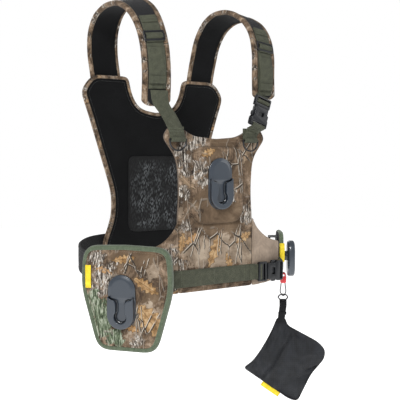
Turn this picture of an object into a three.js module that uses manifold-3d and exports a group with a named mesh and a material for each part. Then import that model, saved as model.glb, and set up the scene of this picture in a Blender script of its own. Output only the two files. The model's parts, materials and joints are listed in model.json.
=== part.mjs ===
// A two-camera carrying harness in its worn shape: padded shoulder straps, a chest panel and a
// hip holster with camera docks, a back panel, a belt with buckles, and a rain-cover pouch.
// Millimetres. The wearer faces -Y, +X is the wearer's left, +Z is up, and the origin lies midway
// between the undersides of the two shoulder straps where they rest on the wearer.
import * as THREE from "three";
import { mergeVertices } from "three/addons/utils/BufferGeometryUtils.js";
import Module from "manifold-3d";

const wasm = await Module();
wasm.setup();

// ---- driving dimensions ----
const GAP = 0.3; // between pieces that touch
const CHEST_Y = -170; // outer face of the chest panel
const BACK_Y = 102; // inner face of the back panel
const SEAM_X = 100; // where the side wings are sewn to the chest panel
const WING_END_X = 196;
const PANEL_BOTTOM_Z = -648;
const BAND_Z = -616; // middle of the waist webbing
const WEBBING = { width: 38, thick: 2 };
const STRAP = { rear: 80, front: 64, pad: 8, lining: 2 };
const BELT = { width: 58, thick: 4 };
const STRAP_HEIGHTS = { webbing: -50, glide: -96, tail: -120, tailEnd: -196, webbingEnd: -207 };
const STRAP_TIP_Z = { right: -242, left: -216 };
const RING_Z = -312; // the straight bars of the chest rings
const RING_X = { right: -106, left: 88 };
const DOCK = { width: 62, height: 115, z: -409 };
const WAIST_BUCKLE_X = 134;
const BUCKLE = { width: 48, socket: 46, ladder: 24, thick: 13 };
const GLIDE = { width: 47, height: 24, thick: 3.6 };
const HOLSTER = { azimuth: -50, x: -210, y: -145.5, z: -648, width: 208, height: 225, thick: 20 };
const HIP = { azimuth: 57, x: 229, y: -103, z: -583, width: 84, height: 101, thick: 13 };
const TETHER = { x: 241.5, y: -111.3, top: -637, ring: -697 };
const POUCH = { azimuth: -33, thick: 30 };

// ---- materials ----
function material(color, roughness, metalness = 0) {
  return new THREE.MeshStandardMaterial({ color, roughness, metalness });
}
const CAMO = material(0x8a7457, 0.85);
const LINING = material(0x1b1d1f, 0.95);
const FOAM = material(0x3a3a3c, 0.95);
const OLIVE = material(0x4d5240, 0.8);
const BINDING = material(0x5f7354, 0.85);
const PLASTIC = material(0x1d2126, 0.45);
const DOCK_BLUE = material(0x2a323d, 0.35);
const STEEL = material(0x2a2b2d, 0.35, 0.9);
const YELLOW = material(0xe8d21a, 0.7);
const RED = material(0xd8262f, 0.5);
const NYLON = material(0x202226, 0.6);

// ---- building helpers ----
const harness = new THREE.Group();

// A group whose own X runs along a face, Y is up and Z points out of it, towards the azimuth
// (0 is the wearer's front, 90 the wearer's left).
function facing(azimuth, x, y, z) {
  const a = THREE.MathUtils.degToRad(azimuth);
  const along = new THREE.Vector3(Math.cos(a), Math.sin(a), 0);
  const out = new THREE.Vector3(Math.sin(a), -Math.cos(a), 0);
  return framed(new THREE.Vector3(x, y, z), along, new THREE.Vector3(0, 0, 1), out);
}

function framed(origin, along, up, out) {
  const group = new THREE.Group();
  group.position.copy(origin);
  group.quaternion.setFromRotationMatrix(new THREE.Matrix4().makeBasis(along, up, out));
  harness.add(group);
  return group;
}

// The three directions of a face turned to an azimuth and then leant sideways, both in degrees.
function tilted(azimuth, lean) {
  const axes = [new THREE.Vector3(), new THREE.Vector3(), new THREE.Vector3()];
  const turned = new THREE.Matrix4().makeRotationZ(THREE.MathUtils.degToRad(azimuth));
  const upright = new THREE.Matrix4().makeRotationX(Math.PI / 2);
  const leant = new THREE.Matrix4().makeRotationZ(THREE.MathUtils.degToRad(-lean));
  turned.multiply(upright).multiply(leant).extractBasis(...axes);
  return axes;
}

function add(group, name, geometry, look) {
  const mesh = new THREE.Mesh(geometry, look);
  mesh.name = name;
  group.add(mesh);
  return mesh;
}

function solid(geometry) {
  const flat = new THREE.BufferGeometry();
  const source = geometry.index ? geometry.toNonIndexed() : geometry;
  flat.setAttribute("position", source.getAttribute("position").clone());
  const merged = mergeVertices(flat, 1e-3);
  return new wasm.Manifold(
    new wasm.Mesh({
      numProp: 3,
      vertProperties: merged.attributes.position.array,
      triVerts: new Uint32Array(merged.index.array),
    }),
  );
}

function geometryOf(body) {
  const mesh = body.getMesh();
  const geometry = new THREE.BufferGeometry();
  const positions = new Float32Array(mesh.numVert * 3);
  for (let i = 0; i < mesh.numVert; i++) {
    positions.set(mesh.vertProperties.subarray(i * mesh.numProp, i * mesh.numProp + 3), i * 3);
  }
  geometry.setAttribute("position", new THREE.BufferAttribute(positions, 3));
  geometry.setIndex(new THREE.BufferAttribute(new Uint32Array(mesh.triVerts), 1));
  return geometry;
}

function joined(...geometries) {
  return geometryOf(geometries.map(solid).reduce((a, b) => a.add(b)));
}

function cut(body, ...tools) {
  return geometryOf(tools.map(solid).reduce((a, b) => a.subtract(b), solid(body)));
}

function block(x0, x1, y0, y1, z0, z1) {
  const box = new THREE.BoxGeometry(x1 - x0, y1 - y0, z1 - z0);
  return box.translate((x0 + x1) / 2, (y0 + y1) / 2, (z0 + z1) / 2);
}

// A closed outline through corners [x, y, radius], each rounded by its radius.
function outline(corners) {
  const shape = new THREE.Shape();
  corners.forEach(([x, y, radius = 0], i) => {
    const before = corners.at(i - 1);
    const after = corners[(i + 1) % corners.length];
    const towards = ([tx, ty]) => {
      const length = Math.hypot(tx - x, ty - y);
      return [x + ((tx - x) * radius) / length, y + ((ty - y) * radius) / length];
    };
    const start = towards(before);
    if (i === 0) shape.moveTo(...start);
    else shape.lineTo(...start);
    if (radius) shape.quadraticCurveTo(x, y, ...towards(after));
  });
  return shape;
}

// The right half of an outline, listed from top to bottom, with its mirror image, anticlockwise.
function symmetric(half) {
  const mirrored = half.filter(([x]) => x > 0).map(([x, y, r]) => [-x, y, r]);
  return outline([...mirrored, ...[...half].reverse()]);
}

function plate(shape, back, front, segments = 4) {
  const options = { depth: front - back, bevelEnabled: false, curveSegments: segments };
  return new THREE.ExtrudeGeometry(shape, options).translate(0, 0, back);
}

function cushion(shape, back, front, round) {
  const options = {
    depth: front - back - 2 * round,
    bevelThickness: round,
    bevelSize: round,
    bevelOffset: -round,
    bevelSegments: 2,
    curveSegments: 4,
  };
  return new THREE.ExtrudeGeometry(shape, options).translate(0, 0, back + round);
}

function scaled(corners, x, y) {
  return corners.map(([px, py, r]) => [px * x, py * y, r]);
}

// A closed curved sheet: surface(u, v) is a point for u and v from 0 to 1, and the sheet lies from
// low to high along the surface's normal.
function sheet(surface, low, high, across, along) {
  const positions = [];
  const index = [];
  const at = (layer, i, j) => (layer * (along + 1) + i) * (across + 1) + j;
  for (const height of [low, high]) {
    for (let i = 0; i <= along; i++) {
      for (let j = 0; j <= across; j++) {
        const { point, normal } = pointOn(surface, j / across, i / along);
        positions.push(...point.addScaledVector(normal, height).toArray());
      }
    }
  }
  const quad = (a, b, c, d) => index.push(a, b, c, a, c, d);
  for (let i = 0; i < along; i++) {
    for (let j = 0; j < across; j++) {
      quad(at(1, i, j), at(1, i, j + 1), at(1, i + 1, j + 1), at(1, i + 1, j));
      quad(at(0, i, j), at(0, i + 1, j), at(0, i + 1, j + 1), at(0, i, j + 1));
    }
    quad(at(0, i, 0), at(1, i, 0), at(1, i + 1, 0), at(0, i + 1, 0));
    quad(at(0, i + 1, across), at(1, i + 1, across), at(1, i, across), at(0, i, across));
  }
  for (let j = 0; j < across; j++) {
    quad(at(0, 0, j + 1), at(1, 0, j + 1), at(1, 0, j), at(0, 0, j));
    quad(at(0, along, j), at(1, along, j), at(1, along, j + 1), at(0, along, j + 1));
  }
  const geometry = new THREE.BufferGeometry();
  geometry.setAttribute("position", new THREE.Float32BufferAttribute(positions, 3));
  geometry.setIndex(index);
  return geometry;
}

// The point of a surface, its normal, and its directions along u and v.
function pointOn(surface, u, v) {
  const step = 1e-3;
  const slope = (du, dv) => surface(u + du, v + dv).sub(surface(u - du, v - dv)).normalize();
  const across = slope(step, 0);
  const along = slope(0, step);
  const normal = across.clone().cross(along).normalize();
  return { point: surface(u, v), across, along, normal };
}

// A band of a width that follows a path, with its side direction at v given by side(v).
function bandSurface(points, width, side, widthAt = () => width) {
  const path = new THREE.CatmullRomCurve3(points.map((p) => new THREE.Vector3(...p)), false, "centripetal");
  return (u, v) => {
    const inside = THREE.MathUtils.clamp(v, 0, 1);
    const point = path.getPointAt(inside);
    point.addScaledVector(path.getTangentAt(inside), (v - inside) * path.getLength());
    return point.addScaledVector(side(inside), (u - 0.5) * widthAt(inside));
  };
}

// Part of a surface, of its own width and from v0 to v1.
function strip(surface, share, v0, v1) {
  return (u, v) => surface(0.5 + (u - 0.5) * share, v0 + v * (v1 - v0));
}

// ---- camera dock: a back plate with a domed ramp, and a rail with an undercut keyhole slot ----
const RAIL_DEPTH = 8.4;
const PLATE_DEPTH = 4;

function stadium(width, height) {
  const r = width / 2;
  const shape = new THREE.Shape();
  shape.absarc(0, height / 2 - r, r, 0, Math.PI);
  shape.absarc(0, r - height / 2, r, Math.PI, 2 * Math.PI);
  return shape;
}

function railShape(neck, bulb, r, low) {
  const shape = new THREE.Shape();
  shape.moveTo(-r + 1, 14);
  shape.absarc(0, low, r, Math.PI, 2 * Math.PI);
  shape.lineTo(r - 1, 14);
  shape.quadraticCurveTo(r - 3, 6, neck + 8, 5);
  shape.quadraticCurveTo(neck, 4, neck, -6);
  const meet = Math.asin(neck / bulb);
  shape.absarc(0, low - 4, bulb, Math.PI / 2 - meet, -1.5 * Math.PI + meet, true);
  shape.lineTo(-neck, -6);
  shape.quadraticCurveTo(-neck, 4, -neck - 8, 5);
  shape.quadraticCurveTo(-r + 3, 6, -r + 1, 14);
  return shape;
}

function addDock(group, name, base) {
  const r = DOCK.width / 2;
  const low = r - DOCK.height / 2;
  const flange = plate(stadium(DOCK.width, DOCK.height), base, base + PLATE_DEPTH, 10);
  const ramp = new THREE.ExtrudeGeometry(stadium(DOCK.width - 8, DOCK.width - 4), {
    depth: 0.6,
    bevelThickness: 1.8,
    bevelSize: 6,
    bevelOffset: -6,
    bevelSegments: 2,
    curveSegments: 8,
  });
  ramp.translate(0, DOCK.height / 2 - r + 1, base + PLATE_DEPTH - 0.2);
  add(group, name + "_plate", joined(flange, ramp), DOCK_BLUE);
  const foot = base + PLATE_DEPTH + GAP;
  const spacer = plate(railShape(13.5, 17.5, r - 1, low), foot, foot + 3.6, 8);
  const lip = plate(railShape(10.5, 14.2, r - 1, low), foot + 3.5, foot + RAIL_DEPTH, 8);
  const lowered = joined(spacer, lip);
  add(group, name + "_rail", cut(lowered, block(-r, r, 12.5, 20, foot - 1, foot + 20)), DOCK_BLUE);
}

// ---- chest panel ----
const CHEST_HALF = [
  [0, -309],
  [62, -304, 18],
  [92, -286, 10],
  [122, -284, 8],
  [136, -307, 9],
  [101, -352, 22],
  [95, -425, 34],
  [SEAM_X, -487, 8],
  [SEAM_X, PANEL_BOTTOM_Z],
];

function addChestPanel() {
  const chest = facing(0, 0, CHEST_Y, 0);
  const shell = symmetric(CHEST_HALF);
  add(chest, "chest_shell", plate(shell, -2.5, 0), CAMO);
  add(chest, "chest_foam", plate(shell, -10, -2.5 - GAP), FOAM);
  add(chest, "chest_lining", plate(shell, -12.3, -10 - GAP), LINING);
  const boss = outline([
    [-70, -326, 34],
    [70, -326, 34],
    [70, -498, 36],
    [-70, -498, 36],
  ]);
  add(chest, "chest_boss_pad", cushion(boss, GAP, 11, 5), CAMO);
  const dock = facing(0, 0, CHEST_Y, DOCK.z);
  addDock(dock, "chest_dock", 11 + GAP);
  add(dock, "chest_stiffener", plate(stadium(90, 150), -15, -12.3 - GAP), PLASTIC);
}

// The side wings bend back round the ribs beyond the seams.
function wingDepth(x) {
  return CHEST_Y + 20 * (Math.max(0, x - 130) / 66) ** 2;
}

function addWing(side, sign) {
  const top = new THREE.CatmullRomCurve3(
    [
      [SEAM_X + GAP, -489],
      [118, -516],
      [148, -538],
      [WING_END_X, -551],
    ].map(([x, z]) => new THREE.Vector3(x, 0, z)),
  );
  const surface = (u, v) => {
    const edge = top.getPoint(THREE.MathUtils.clamp(u, 0, 1));
    const x = edge.x + (u - THREE.MathUtils.clamp(u, 0, 1)) * WING_END_X;
    const bottom = PANEL_BOTTOM_Z + 8 * u * u;
    return new THREE.Vector3(sign * x, wingDepth(x), bottom + v * (edge.z - bottom));
  };
  const [low, high] = sign > 0 ? [-6, 0] : [0, 6];
  add(harness, "chest_wing_" + side, sheet(surface, low, high, 10, 4), CAMO);
}

function addFrontBand() {
  const points = [-WING_END_X + 4, -170, -150, -130, 0, WAIST_BUCKLE_X - 29].map((x) => [
    x,
    wingDepth(Math.abs(x)),
    BAND_Z,
  ]);
  const surface = bandSurface(points, WEBBING.width, () => new THREE.Vector3(0, 0, 1));
  add(harness, "waist_webbing_front", sheet(surface, -GAP - WEBBING.thick, -GAP, 1, 26), OLIVE);
}

// ---- back panel ----
const BACK_HALF = [
  [0, -237],
  [52, -228, 25],
  [72, -190, 17],
  [80, -150, 12],
  [176, -150, 22],
  [204, -190, 16],
  [184, -248, 16],
  [150, -356, 30],
  [124, -440, 30],
  [126, -496, 24],
  [150, -560, 14],
  [150, -618, 16],
];

function addBackPanel() {
  const back = facing(180, 0, BACK_Y, 0);
  const shape = symmetric(BACK_HALF);
  add(back, "back_lining", plate(shape, 0, 2), LINING);
  add(back, "back_foam", plate(shape, 2 + GAP, 8), FOAM);
  add(back, "back_shell", plate(shape, 8 + GAP, 10.8), CAMO);
  const mesh = outline([
    [-82, -346, 16],
    [82, -346, 16],
    [84, -536, 24],
    [-84, -536, 24],
  ]);
  add(back, "back_mesh", plate(mesh, -2 - GAP, -GAP), LINING);
}

// ---- shoulder straps ----
// Middle line of the wearer's left strap, from where it is sewn behind the back panel, over the
// shoulder, to its tip in front.
const STRAP_LINE = [
  [132, 120.5, -206],
  [138, 121, -150],
  [147, 117, -92],
  [151, 103, -46],
  [152, 72, -13],
  [151, 34, 2],
  [151, 0, 5],
  [151, -50, -3],
  [151, -98, -28],
  [151, -132, -64],
  [150, -153, -110],
  [150, -162, -165],
];
const REAR_SHIFT = 4; // the rear of both straps sits this far towards the wearer's left
const SHOULDER_SLOPE = 0.2; // how far the outer edge drops over the shoulder, per unit of width
const TURN_OUT = { right: 0.2, left: 0.02 }; // how far the straps' front faces turn towards the arms
const LEAN = { right: 0, left: -20 }; // how far each strap's tip leans from its line

function strapSurface(side, sign) {
  const line = [...STRAP_LINE, [154, -166, STRAP_TIP_Z[side]]];
  const lean = (y, z) => (y < 0 ? (LEAN[side] * Math.max(0, -40 - z)) / 176 : REAR_SHIFT);
  const points = line.map(([x, y, z]) => [sign * x + lean(y, z), y, z]);
  const front = (v) => THREE.MathUtils.smoothstep(v, 0.4, 0.75);
  const across = (v) => {
    const over = Math.sin(Math.PI * v) ** 2;
    const turn = TURN_OUT[side] * front(v);
    return new THREE.Vector3(1, sign * turn, -sign * SHOULDER_SLOPE * over).normalize();
  };
  const width = (v) => THREE.MathUtils.lerp(STRAP.rear, STRAP.front, front(v));
  return bandSurface(points, STRAP.front, across, width);
}

// How far along a strap's front its middle line comes down to a height.
function comesDownTo(surface, z) {
  let [above, below] = [0.5, 1];
  for (let i = 0; i < 30; i++) {
    const middle = (above + below) / 2;
    if (surface(0.5, middle).z > z) above = middle;
    else below = middle;
  }
  return above;
}

// u runs towards +X and v forwards over the shoulder, so the surface's normal points inwards
// and heights outside the strap are negative.
const OUTSIDE = -STRAP.pad / 2 - GAP;

function addStrap(side, sign) {
  const surface = strapSurface(side, sign);
  const pad = STRAP.pad / 2;
  add(harness, "shoulder_pad_" + side, sheet(surface, -pad, pad, 2, 36), CAMO);
  const inner = strip(surface, 0.8, 0.1, 0.97);
  const skin = sheet(inner, pad + 2 * GAP, pad + 2 * GAP + STRAP.lining, 2, 36);
  add(harness, "shoulder_lining_" + side, skin, LINING);
  const share = WEBBING.width / STRAP.front;
  const piece = (top, bottom) => {
    return strip(surface, share, comesDownTo(surface, top), comesDownTo(surface, bottom));
  };
  const { webbing, webbingEnd, tail, tailEnd, glide } = STRAP_HEIGHTS;
  const sewn = sheet(piece(webbing, webbingEnd), OUTSIDE - WEBBING.thick, OUTSIDE, 1, 18);
  add(harness, "strap_webbing_" + side, sewn, OLIVE);
  const over = OUTSIDE - WEBBING.thick - GAP;
  const loose = sheet(piece(tail, tailEnd), over - WEBBING.thick, over, 1, 9);
  add(harness, "webbing_tail_" + side, loose, OLIVE);
  addGlide(surface, side, comesDownTo(surface, glide), over - 0.6);
}

// The three-bar slide that the strap webbing runs through.
function addGlide(surface, side, v, height) {
  const { point, along, normal } = pointOn(surface, 0.5, v);
  const out = normal.negate();
  const right = along.negate().cross(out).normalize();
  const group = framed(point.addScaledVector(out, -height), right, out.clone().cross(right), out);
  const w = GLIDE.width / 2;
  const h = GLIDE.height / 2;
  const corners = [[-w, -h, 3], [w, -h, 3], [w, h, 3], [-w, h, 3]];
  const slot = (y) => block(-w + 3.5, w - 3.5, y - 2.6, y + 2.6, -1, GLIDE.thick + 1);
  const frame = cushion(outline(corners), 0, GLIDE.thick, 1);
  add(group, "tri_glide_" + side, cut(frame, slot(5.2), slot(-5.2)), PLASTIC);
}

// ---- chest rings and the webbing that reaches them ----
function addRing(side) {
  const ring = facing(0, RING_X[side], CHEST_Y, RING_Z);
  const dShape = (r, bar) => {
    const shape = new THREE.Shape();
    shape.moveTo(-r, bar);
    shape.lineTo(-r, -3);
    shape.absarc(0, -3, r, Math.PI, 2 * Math.PI);
    shape.lineTo(r, bar);
    return shape;
  };
  const shape = dShape(22.5, 2);
  shape.holes.push(dShape(19, -1.8));
  add(ring, "chest_ring_" + side, cushion(shape, 5.2, 8.8, 1), STEEL);
  add(ring, "ring_tab_" + side, block(-18, 18, -5, 26, GAP, 2.4), OLIVE);
}

function addLowerWebbing(side, sign, points) {
  const across = (v) => new THREE.Vector3(1, sign * TURN_OUT[side] * (1 - v) ** 2, 0).normalize();
  const surface = bandSurface(points, WEBBING.width, across);
  add(harness, "lower_webbing_" + side, sheet(surface, -1, 1, 1, 12), OLIVE);
}

// ---- side-release buckles: local Y points from the socket to the plug ----
function addBuckle(group, name) {
  const w = BUCKLE.width / 2;
  const back = -BUCKLE.socket;
  const thick = BUCKLE.thick;
  const body = cushion(
    outline([
      [-w, back, 5],
      [w, back, 5],
      [w, -28, 3],
      [w - 5, -22, 3],
      [w - 5, -0.4, 2],
      [5 - w, -0.4, 2],
      [5 - w, -22, 3],
      [-w, -28, 3],
    ]),
    0,
    thick,
    1.2,
  );
  const cavity = block(-w - 1, w + 1, -30, 1, 2.8, thick - 2.8);
  const slot = block(-w + 4, w - 4, back + 4, back + 9, -1, thick + 1);
  const window = block(-8, 8, -22, -12, thick - 4, thick + 1);
  add(group, name + "_socket", cut(body, cavity, slot, window), PLASTIC);
  const high = BUCKLE.ladder;
  const rim = outline([[-w + 1, 0.2, 2], [w - 1, 0.2, 2], [w - 1, high, 4], [-w + 1, high, 4]]);
  const ladder = cushion(rim, 2, 11, 1.2);
  const rung = (y) => block(-w + 5, w - 5, y - 2.5, y + 2.5, 0, thick);
  const tongue = plate(outline([[-6, -26, 3], [6, -26, 3], [7, 2], [-7, 2]]), 3.4, 9.6);
  add(group, name + "_plug", cut(joined(ladder, tongue), rung(9), rung(17.5)), PLASTIC);
  for (const [hand, sign] of [["a", -1], ["b", 1]]) {
    const prong = outline([
      [sign * 14, -0.2],
      [sign * 19, -0.2],
      [sign * 19.5, -12],
      [sign * 25, -15, 1],
      [sign * 25, -24, 2],
      [sign * 17, -27, 2],
      [sign * 15.5, -15],
    ]);
    add(group, name + "_prong_" + hand, plate(prong, 3.6, 9.4), PLASTIC);
  }
}

// ---- belt ----
const BELT_LINE = [
  [150, -157.5, -612],
  [176, -149, -608],
  [197, -134, -602],
  [214, -112, -597],
  [232, -82, -594],
  [246, -40, -590],
  [248, 10, -586],
  [230, 66, -579],
  [190, 105, -571],
  [140, 118, -567],
  [96, 118, -566],
];

function addBelt(side, sign, first) {
  const points = BELT_LINE.slice(first).map(([x, y, z]) => [sign * x, y, z]);
  const surface = bandSurface(points, BELT.width, () => new THREE.Vector3(0, 0, 1));
  add(harness, "hip_belt_" + side, sheet(surface, -BELT.thick / 2, BELT.thick / 2, 1, 40), LINING);
}

// The webbing from the waist buckle's socket back to the belt.
function addSideWebbing() {
  const points = [
    [WAIST_BUCKLE_X + 49, -173.5, BAND_Z],
    [195, -162, BAND_Z + 2],
    [201.5, -147, BAND_Z + 5],
    [206, -135.5, BAND_Z + 8],
    [211.5, -126, BAND_Z + 10],
  ];
  const surface = bandSurface(points, WEBBING.width, () => new THREE.Vector3(0, 0, 1));
  add(harness, "side_webbing_left", sheet(surface, -1, 1, 1, 12), OLIVE);
}

// ---- hip holster ----
const HOLSTER_HALF = [
  [0, 0.5],
  [0.47, 0.485, 30],
  [0.5, 0.1, 30],
  [0.315, -0.5, 26],
];

function addHolster() {
  const { width, height, thick } = HOLSTER;
  const group = facing(HOLSTER.azimuth, HOLSTER.x, HOLSTER.y, HOLSTER.z);
  const edge = 8;
  const outer = scaled(HOLSTER_HALF, width, height);
  const inner = scaled(HOLSTER_HALF, width - 2 * edge, height - 2 * edge);
  const rim = symmetric(outer);
  rim.holes.push(symmetric(scaled(HOLSTER_HALF, width - 2 * edge + 2 * GAP, height - 2 * edge + 2 * GAP)));
  add(group, "holster_pad", cushion(symmetric(inner), 0, thick, 4), CAMO);
  add(group, "holster_binding", plate(rim, 2, thick - 4), BINDING);
  const stiff = symmetric(scaled(HOLSTER_HALF, width - 30, height - 34));
  add(group, "holster_backplate", plate(stiff, -3, -GAP), PLASTIC);
  const dock = new THREE.Group();
  dock.position.set(-7, -6, 0);
  group.add(dock);
  addDock(dock, "holster_dock", thick + GAP);
  add(group, "holster_tag", block(-91, -78, 20, 69, thick + GAP, thick + 1.3), YELLOW);
  const front = -3 - GAP;
  const hanger = joined(
    block(-46, 14, 8, 92, front - 3.5, front),
    block(-40, 8, 8, 11, -31, front - 3),
    block(-40, 8, 82, 85, -31, front - 3),
    block(-40, 8, 8, 85, -33.5, -31),
  );
  add(group, "holster_hanger", hanger, PLASTIC);
}

// ---- small dock pad on the other hip ----
function addHipPad() {
  const { width, height, thick } = HIP;
  const group = facing(HIP.azimuth, HIP.x, HIP.y, HIP.z);
  const corners = (inset) => {
    const w = width / 2 - inset;
    const h = height / 2 - inset;
    return outline([[-w, -h, 22], [w, -h, 22], [w, h, 20], [-w, h, 20]]);
  };
  const rim = corners(0);
  rim.holes.push(corners(6 - GAP));
  add(group, "hip_pad", cushion(corners(6), 0, thick, 3), CAMO);
  add(group, "hip_binding", plate(rim, 1.5, thick - 2.5), BINDING);
  const disc = cushion(stadium(52, 90), thick + 12, thick + 29, 4).translate(0, -19, 0);
  const post = new THREE.CylinderGeometry(12, 12, 13, 20).rotateX(Math.PI / 2);
  add(group, "hip_dock", joined(disc, post.translate(0, -12, thick + GAP + 6.5)), DOCK_BLUE);
  add(group, "hip_tag", block(-43.8, -42.6, -22, 24, 1, thick), YELLOW);
  const hanger = joined(
    block(-24, 24, -50, 38, -3.8, -0.6),
    block(-20, 20, -50, -47.5, -20, -3),
    block(-20, 20, 35.5, 38, -20, -3),
    block(-20, 20, -50, 38, -22, -19.5),
  );
  add(group, "hip_hanger", hanger, PLASTIC);
}

// ---- tether and rain-cover pouch ----
const CORD = 2.6; // diameter
const CORD_REACH = 7; // half the width of the cord's loop

function addTether() {
  const group = facing(POUCH.azimuth, TETHER.x, TETHER.y, 0);
  const clip = cushion(
    outline([
      [-7, -664, 4],
      [7, -664, 4],
      [8, -648, 4],
      [5, TETHER.top, 3],
      [-5, TETHER.top, 3],
      [-8, -648, 4],
    ]),
    -5, 5, 1.5,
  );
  add(group, "tether_connector", cut(clip, block(-3.5, 3.5, -648, -642, -9, 9)), RED);
  add(group, "tether_cord", cordLoop(), NYLON);
  const ring = new THREE.Shape();
  ring.absellipse(0, TETHER.ring - 3, 14, 9, 0, 2 * Math.PI);
  const hole = new THREE.Path();
  hole.absellipse(0, TETHER.ring - 3, 10.6, 5.8, 0, 2 * Math.PI);
  ring.holes.push(hole);
  add(group, "tether_ring", cushion(ring, -1.6, 1.6, 0.8), STEEL);
  add(group, "pouch_webbing", pouchWebbing(), NYLON);
  const rim = cushion(outline(POUCH_CORNERS), -4.5, 4.5, 1.5);
  const belly = cushion(outline(POUCH_BELLY), -POUCH.thick / 2, POUCH.thick / 2, 8);
  add(group, "pouch", joined(rim, belly), NYLON);
  add(group, "pouch_tag", pouchTag(), YELLOW);
}

// One loop of cord, from the connector down through the ring and back.
function cordLoop() {
  const points = [
    [-5, -664.4, 0],
    [-5.6, -672, 0],
    [-CORD_REACH, -681, 0],
    [-6.6, -688, 0.6],
    [-4.2, -691.5, 3.4],
    [-2.2, -694.6, 4.6],
    [0, -695.8, 4.8],
    [2.2, -694.6, 4.6],
    [4.2, -691.5, 3.4],
    [6.6, -688, 0.6],
    [CORD_REACH, -681, 0],
    [5.6, -672, 0],
    [5, -664.4, 0],
  ];
  const path = new THREE.CatmullRomCurve3(points.map((p) => new THREE.Vector3(...p)));
  const section = new THREE.Shape().absarc(0, 0, CORD / 2, 0, 2 * Math.PI);
  return new THREE.ExtrudeGeometry(section, { steps: 28, curveSegments: 4, extrudePath: path });
}

function pouchWebbing() {
  const strap = block(-9, 9, -752, -712, -1, 1);
  const keeper = block(-10.5, 10.5, -744, -737, -3, 3);
  return joined(strap, keeper);
}

const POUCH_CORNERS = [
  [-14, -752.4, 5],
  [5, -752.4, 6],
  [11, -772, 10],
  [90, -815, 14],
  [108, -836, 12],
  [104, -858, 10],
  [71, -897, 14],
  [38, -966, 10],
  [16, -959, 10],
  [-98, -880, 7],
  [-76, -864, 8],
  [-56, -838, 22],
  [-28, -788, 26],
];

const POUCH_BELLY = [
  [8, -790, 20],
  [90, -832, 14],
  [86, -862, 14],
  [40, -946, 11],
  [16, -942, 11],
  [-62, -888, 20],
  [-22, -830, 24],
];

// The tag is sewn into the lower edge, and stands out of it.
function pouchTag() {
  const [low, high] = [POUCH_CORNERS[8], POUCH_CORNERS[9]];
  const slope = Math.atan2(low[1] - high[1], low[0] - high[0]);
  const tag = block(60, 113, -12.5, -1, -0.8, 0.8);
  return tag.rotateZ(slope).translate(high[0], high[1], 0);
}

// ---- assembly ----
addChestPanel();
addBackPanel();
addFrontBand();
for (const [side, sign] of [["right", -1], ["left", 1]]) {
  addWing(side, sign);
  addRing(side);
}
addStrap("right", -1);
addStrap("left", 1);
addLowerWebbing("right", -1, [
  [-151, -174.2, -209],
  [-147, -175.2, -236],
  [-128, -176.4, -262],
  [-111, -175.5, -290],
  [RING_X.right, -174.2, -308],
]);
addLowerWebbing("left", 1, [
  [98, -177.2, -281],
  [93, -175.4, -294],
  [RING_X.left, -174.2, -308],
]);
addBelt("right", -1, 0);
addBelt("left", 1, 2);
addSideWebbing();
const shoulderBuckle = framed(new THREE.Vector3(110, -180.5, -236), ...tilted(4, 17));
addBuckle(shoulderBuckle, "shoulder_buckle");
const waistBuckle = framed(new THREE.Vector3(WAIST_BUCKLE_X, -172.8, BAND_Z), ...tilted(0, -90));
addBuckle(waistBuckle, "waist_buckle");
addHolster();
addHipPad();
addTether();

export default harness;
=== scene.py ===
"""A two-camera carrying harness: padded straps, chest and back panels, belt, holster and pouch.

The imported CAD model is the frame. Hard parts are bevelled copies of its solids. The docks and the
soft goods are rebuilt as crowned panels, bound edges, woven ribbons and stitching. Blender's
lengths are metres; the lengths given here are millimetres, times MM.
"""

import json
import math

import bmesh
import bpy
import numpy as np
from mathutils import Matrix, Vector, geometry, noise


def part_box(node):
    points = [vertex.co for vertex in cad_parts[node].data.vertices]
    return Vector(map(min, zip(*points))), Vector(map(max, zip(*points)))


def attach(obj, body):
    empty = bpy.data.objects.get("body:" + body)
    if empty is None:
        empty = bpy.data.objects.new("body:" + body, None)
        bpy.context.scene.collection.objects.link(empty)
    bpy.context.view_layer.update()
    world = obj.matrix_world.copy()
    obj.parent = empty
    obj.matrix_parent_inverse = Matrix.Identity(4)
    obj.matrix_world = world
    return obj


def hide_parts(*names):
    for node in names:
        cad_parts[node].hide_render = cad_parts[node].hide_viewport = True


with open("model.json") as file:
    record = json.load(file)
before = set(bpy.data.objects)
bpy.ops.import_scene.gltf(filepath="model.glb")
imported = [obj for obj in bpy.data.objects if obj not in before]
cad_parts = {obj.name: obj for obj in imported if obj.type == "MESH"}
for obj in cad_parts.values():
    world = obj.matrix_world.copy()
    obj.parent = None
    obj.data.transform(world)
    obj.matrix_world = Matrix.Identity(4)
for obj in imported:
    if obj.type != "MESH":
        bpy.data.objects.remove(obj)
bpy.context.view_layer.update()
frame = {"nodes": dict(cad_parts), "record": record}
NODES = frame["nodes"]
BODIES = frame["record"]["behaviour"]["bodies"]
BODY_OF = {node: body for body, nodes in BODIES.items() for node in nodes}
ROOT = "harness"
MM = 0.001

# ---- the harness's own dimensions, in millimetres, as in the CAD model ----
CHEST_Y = -170
BACK_INNER_Y = 102
BACK_OUTER_Y = 112.8
BAND_Z = -616
WEBBING_WIDTH = 38
STRAP_REAR = 80
STRAP_FRONT = 64
BELT_WIDTH = 58
HOLSTER_AZIMUTH = -50
HIP_AZIMUTH = 57
POUCH_AZIMUTH = -33
TETHER_AT = (241.5, -111.3)
CORD_DIAMETER = 2.6
WING_END_X = 196
WAIST_BUCKLE_X = 134
MESH_MIDDLE_Z = -446
DOCK_WIDTH = 62
DOCK_BASE = 4.0
RING_X = {"right": -106, "left": 88}
STRAP_LINE = [
    (132, 120.5, -206), (138, 121, -150), (147, 117, -92), (151, 103, -46), (152, 72, -13),
    (151, 34, 2), (151, 0, 5), (151, -50, -3), (151, -98, -28), (151, -132, -64),
    (150, -153, -110), (150, -162, -165),
]
STRAP_TIP_Z = {"right": -242, "left": -216}
TIP_ROUND = 14
REAR_SHIFT = 4
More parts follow.
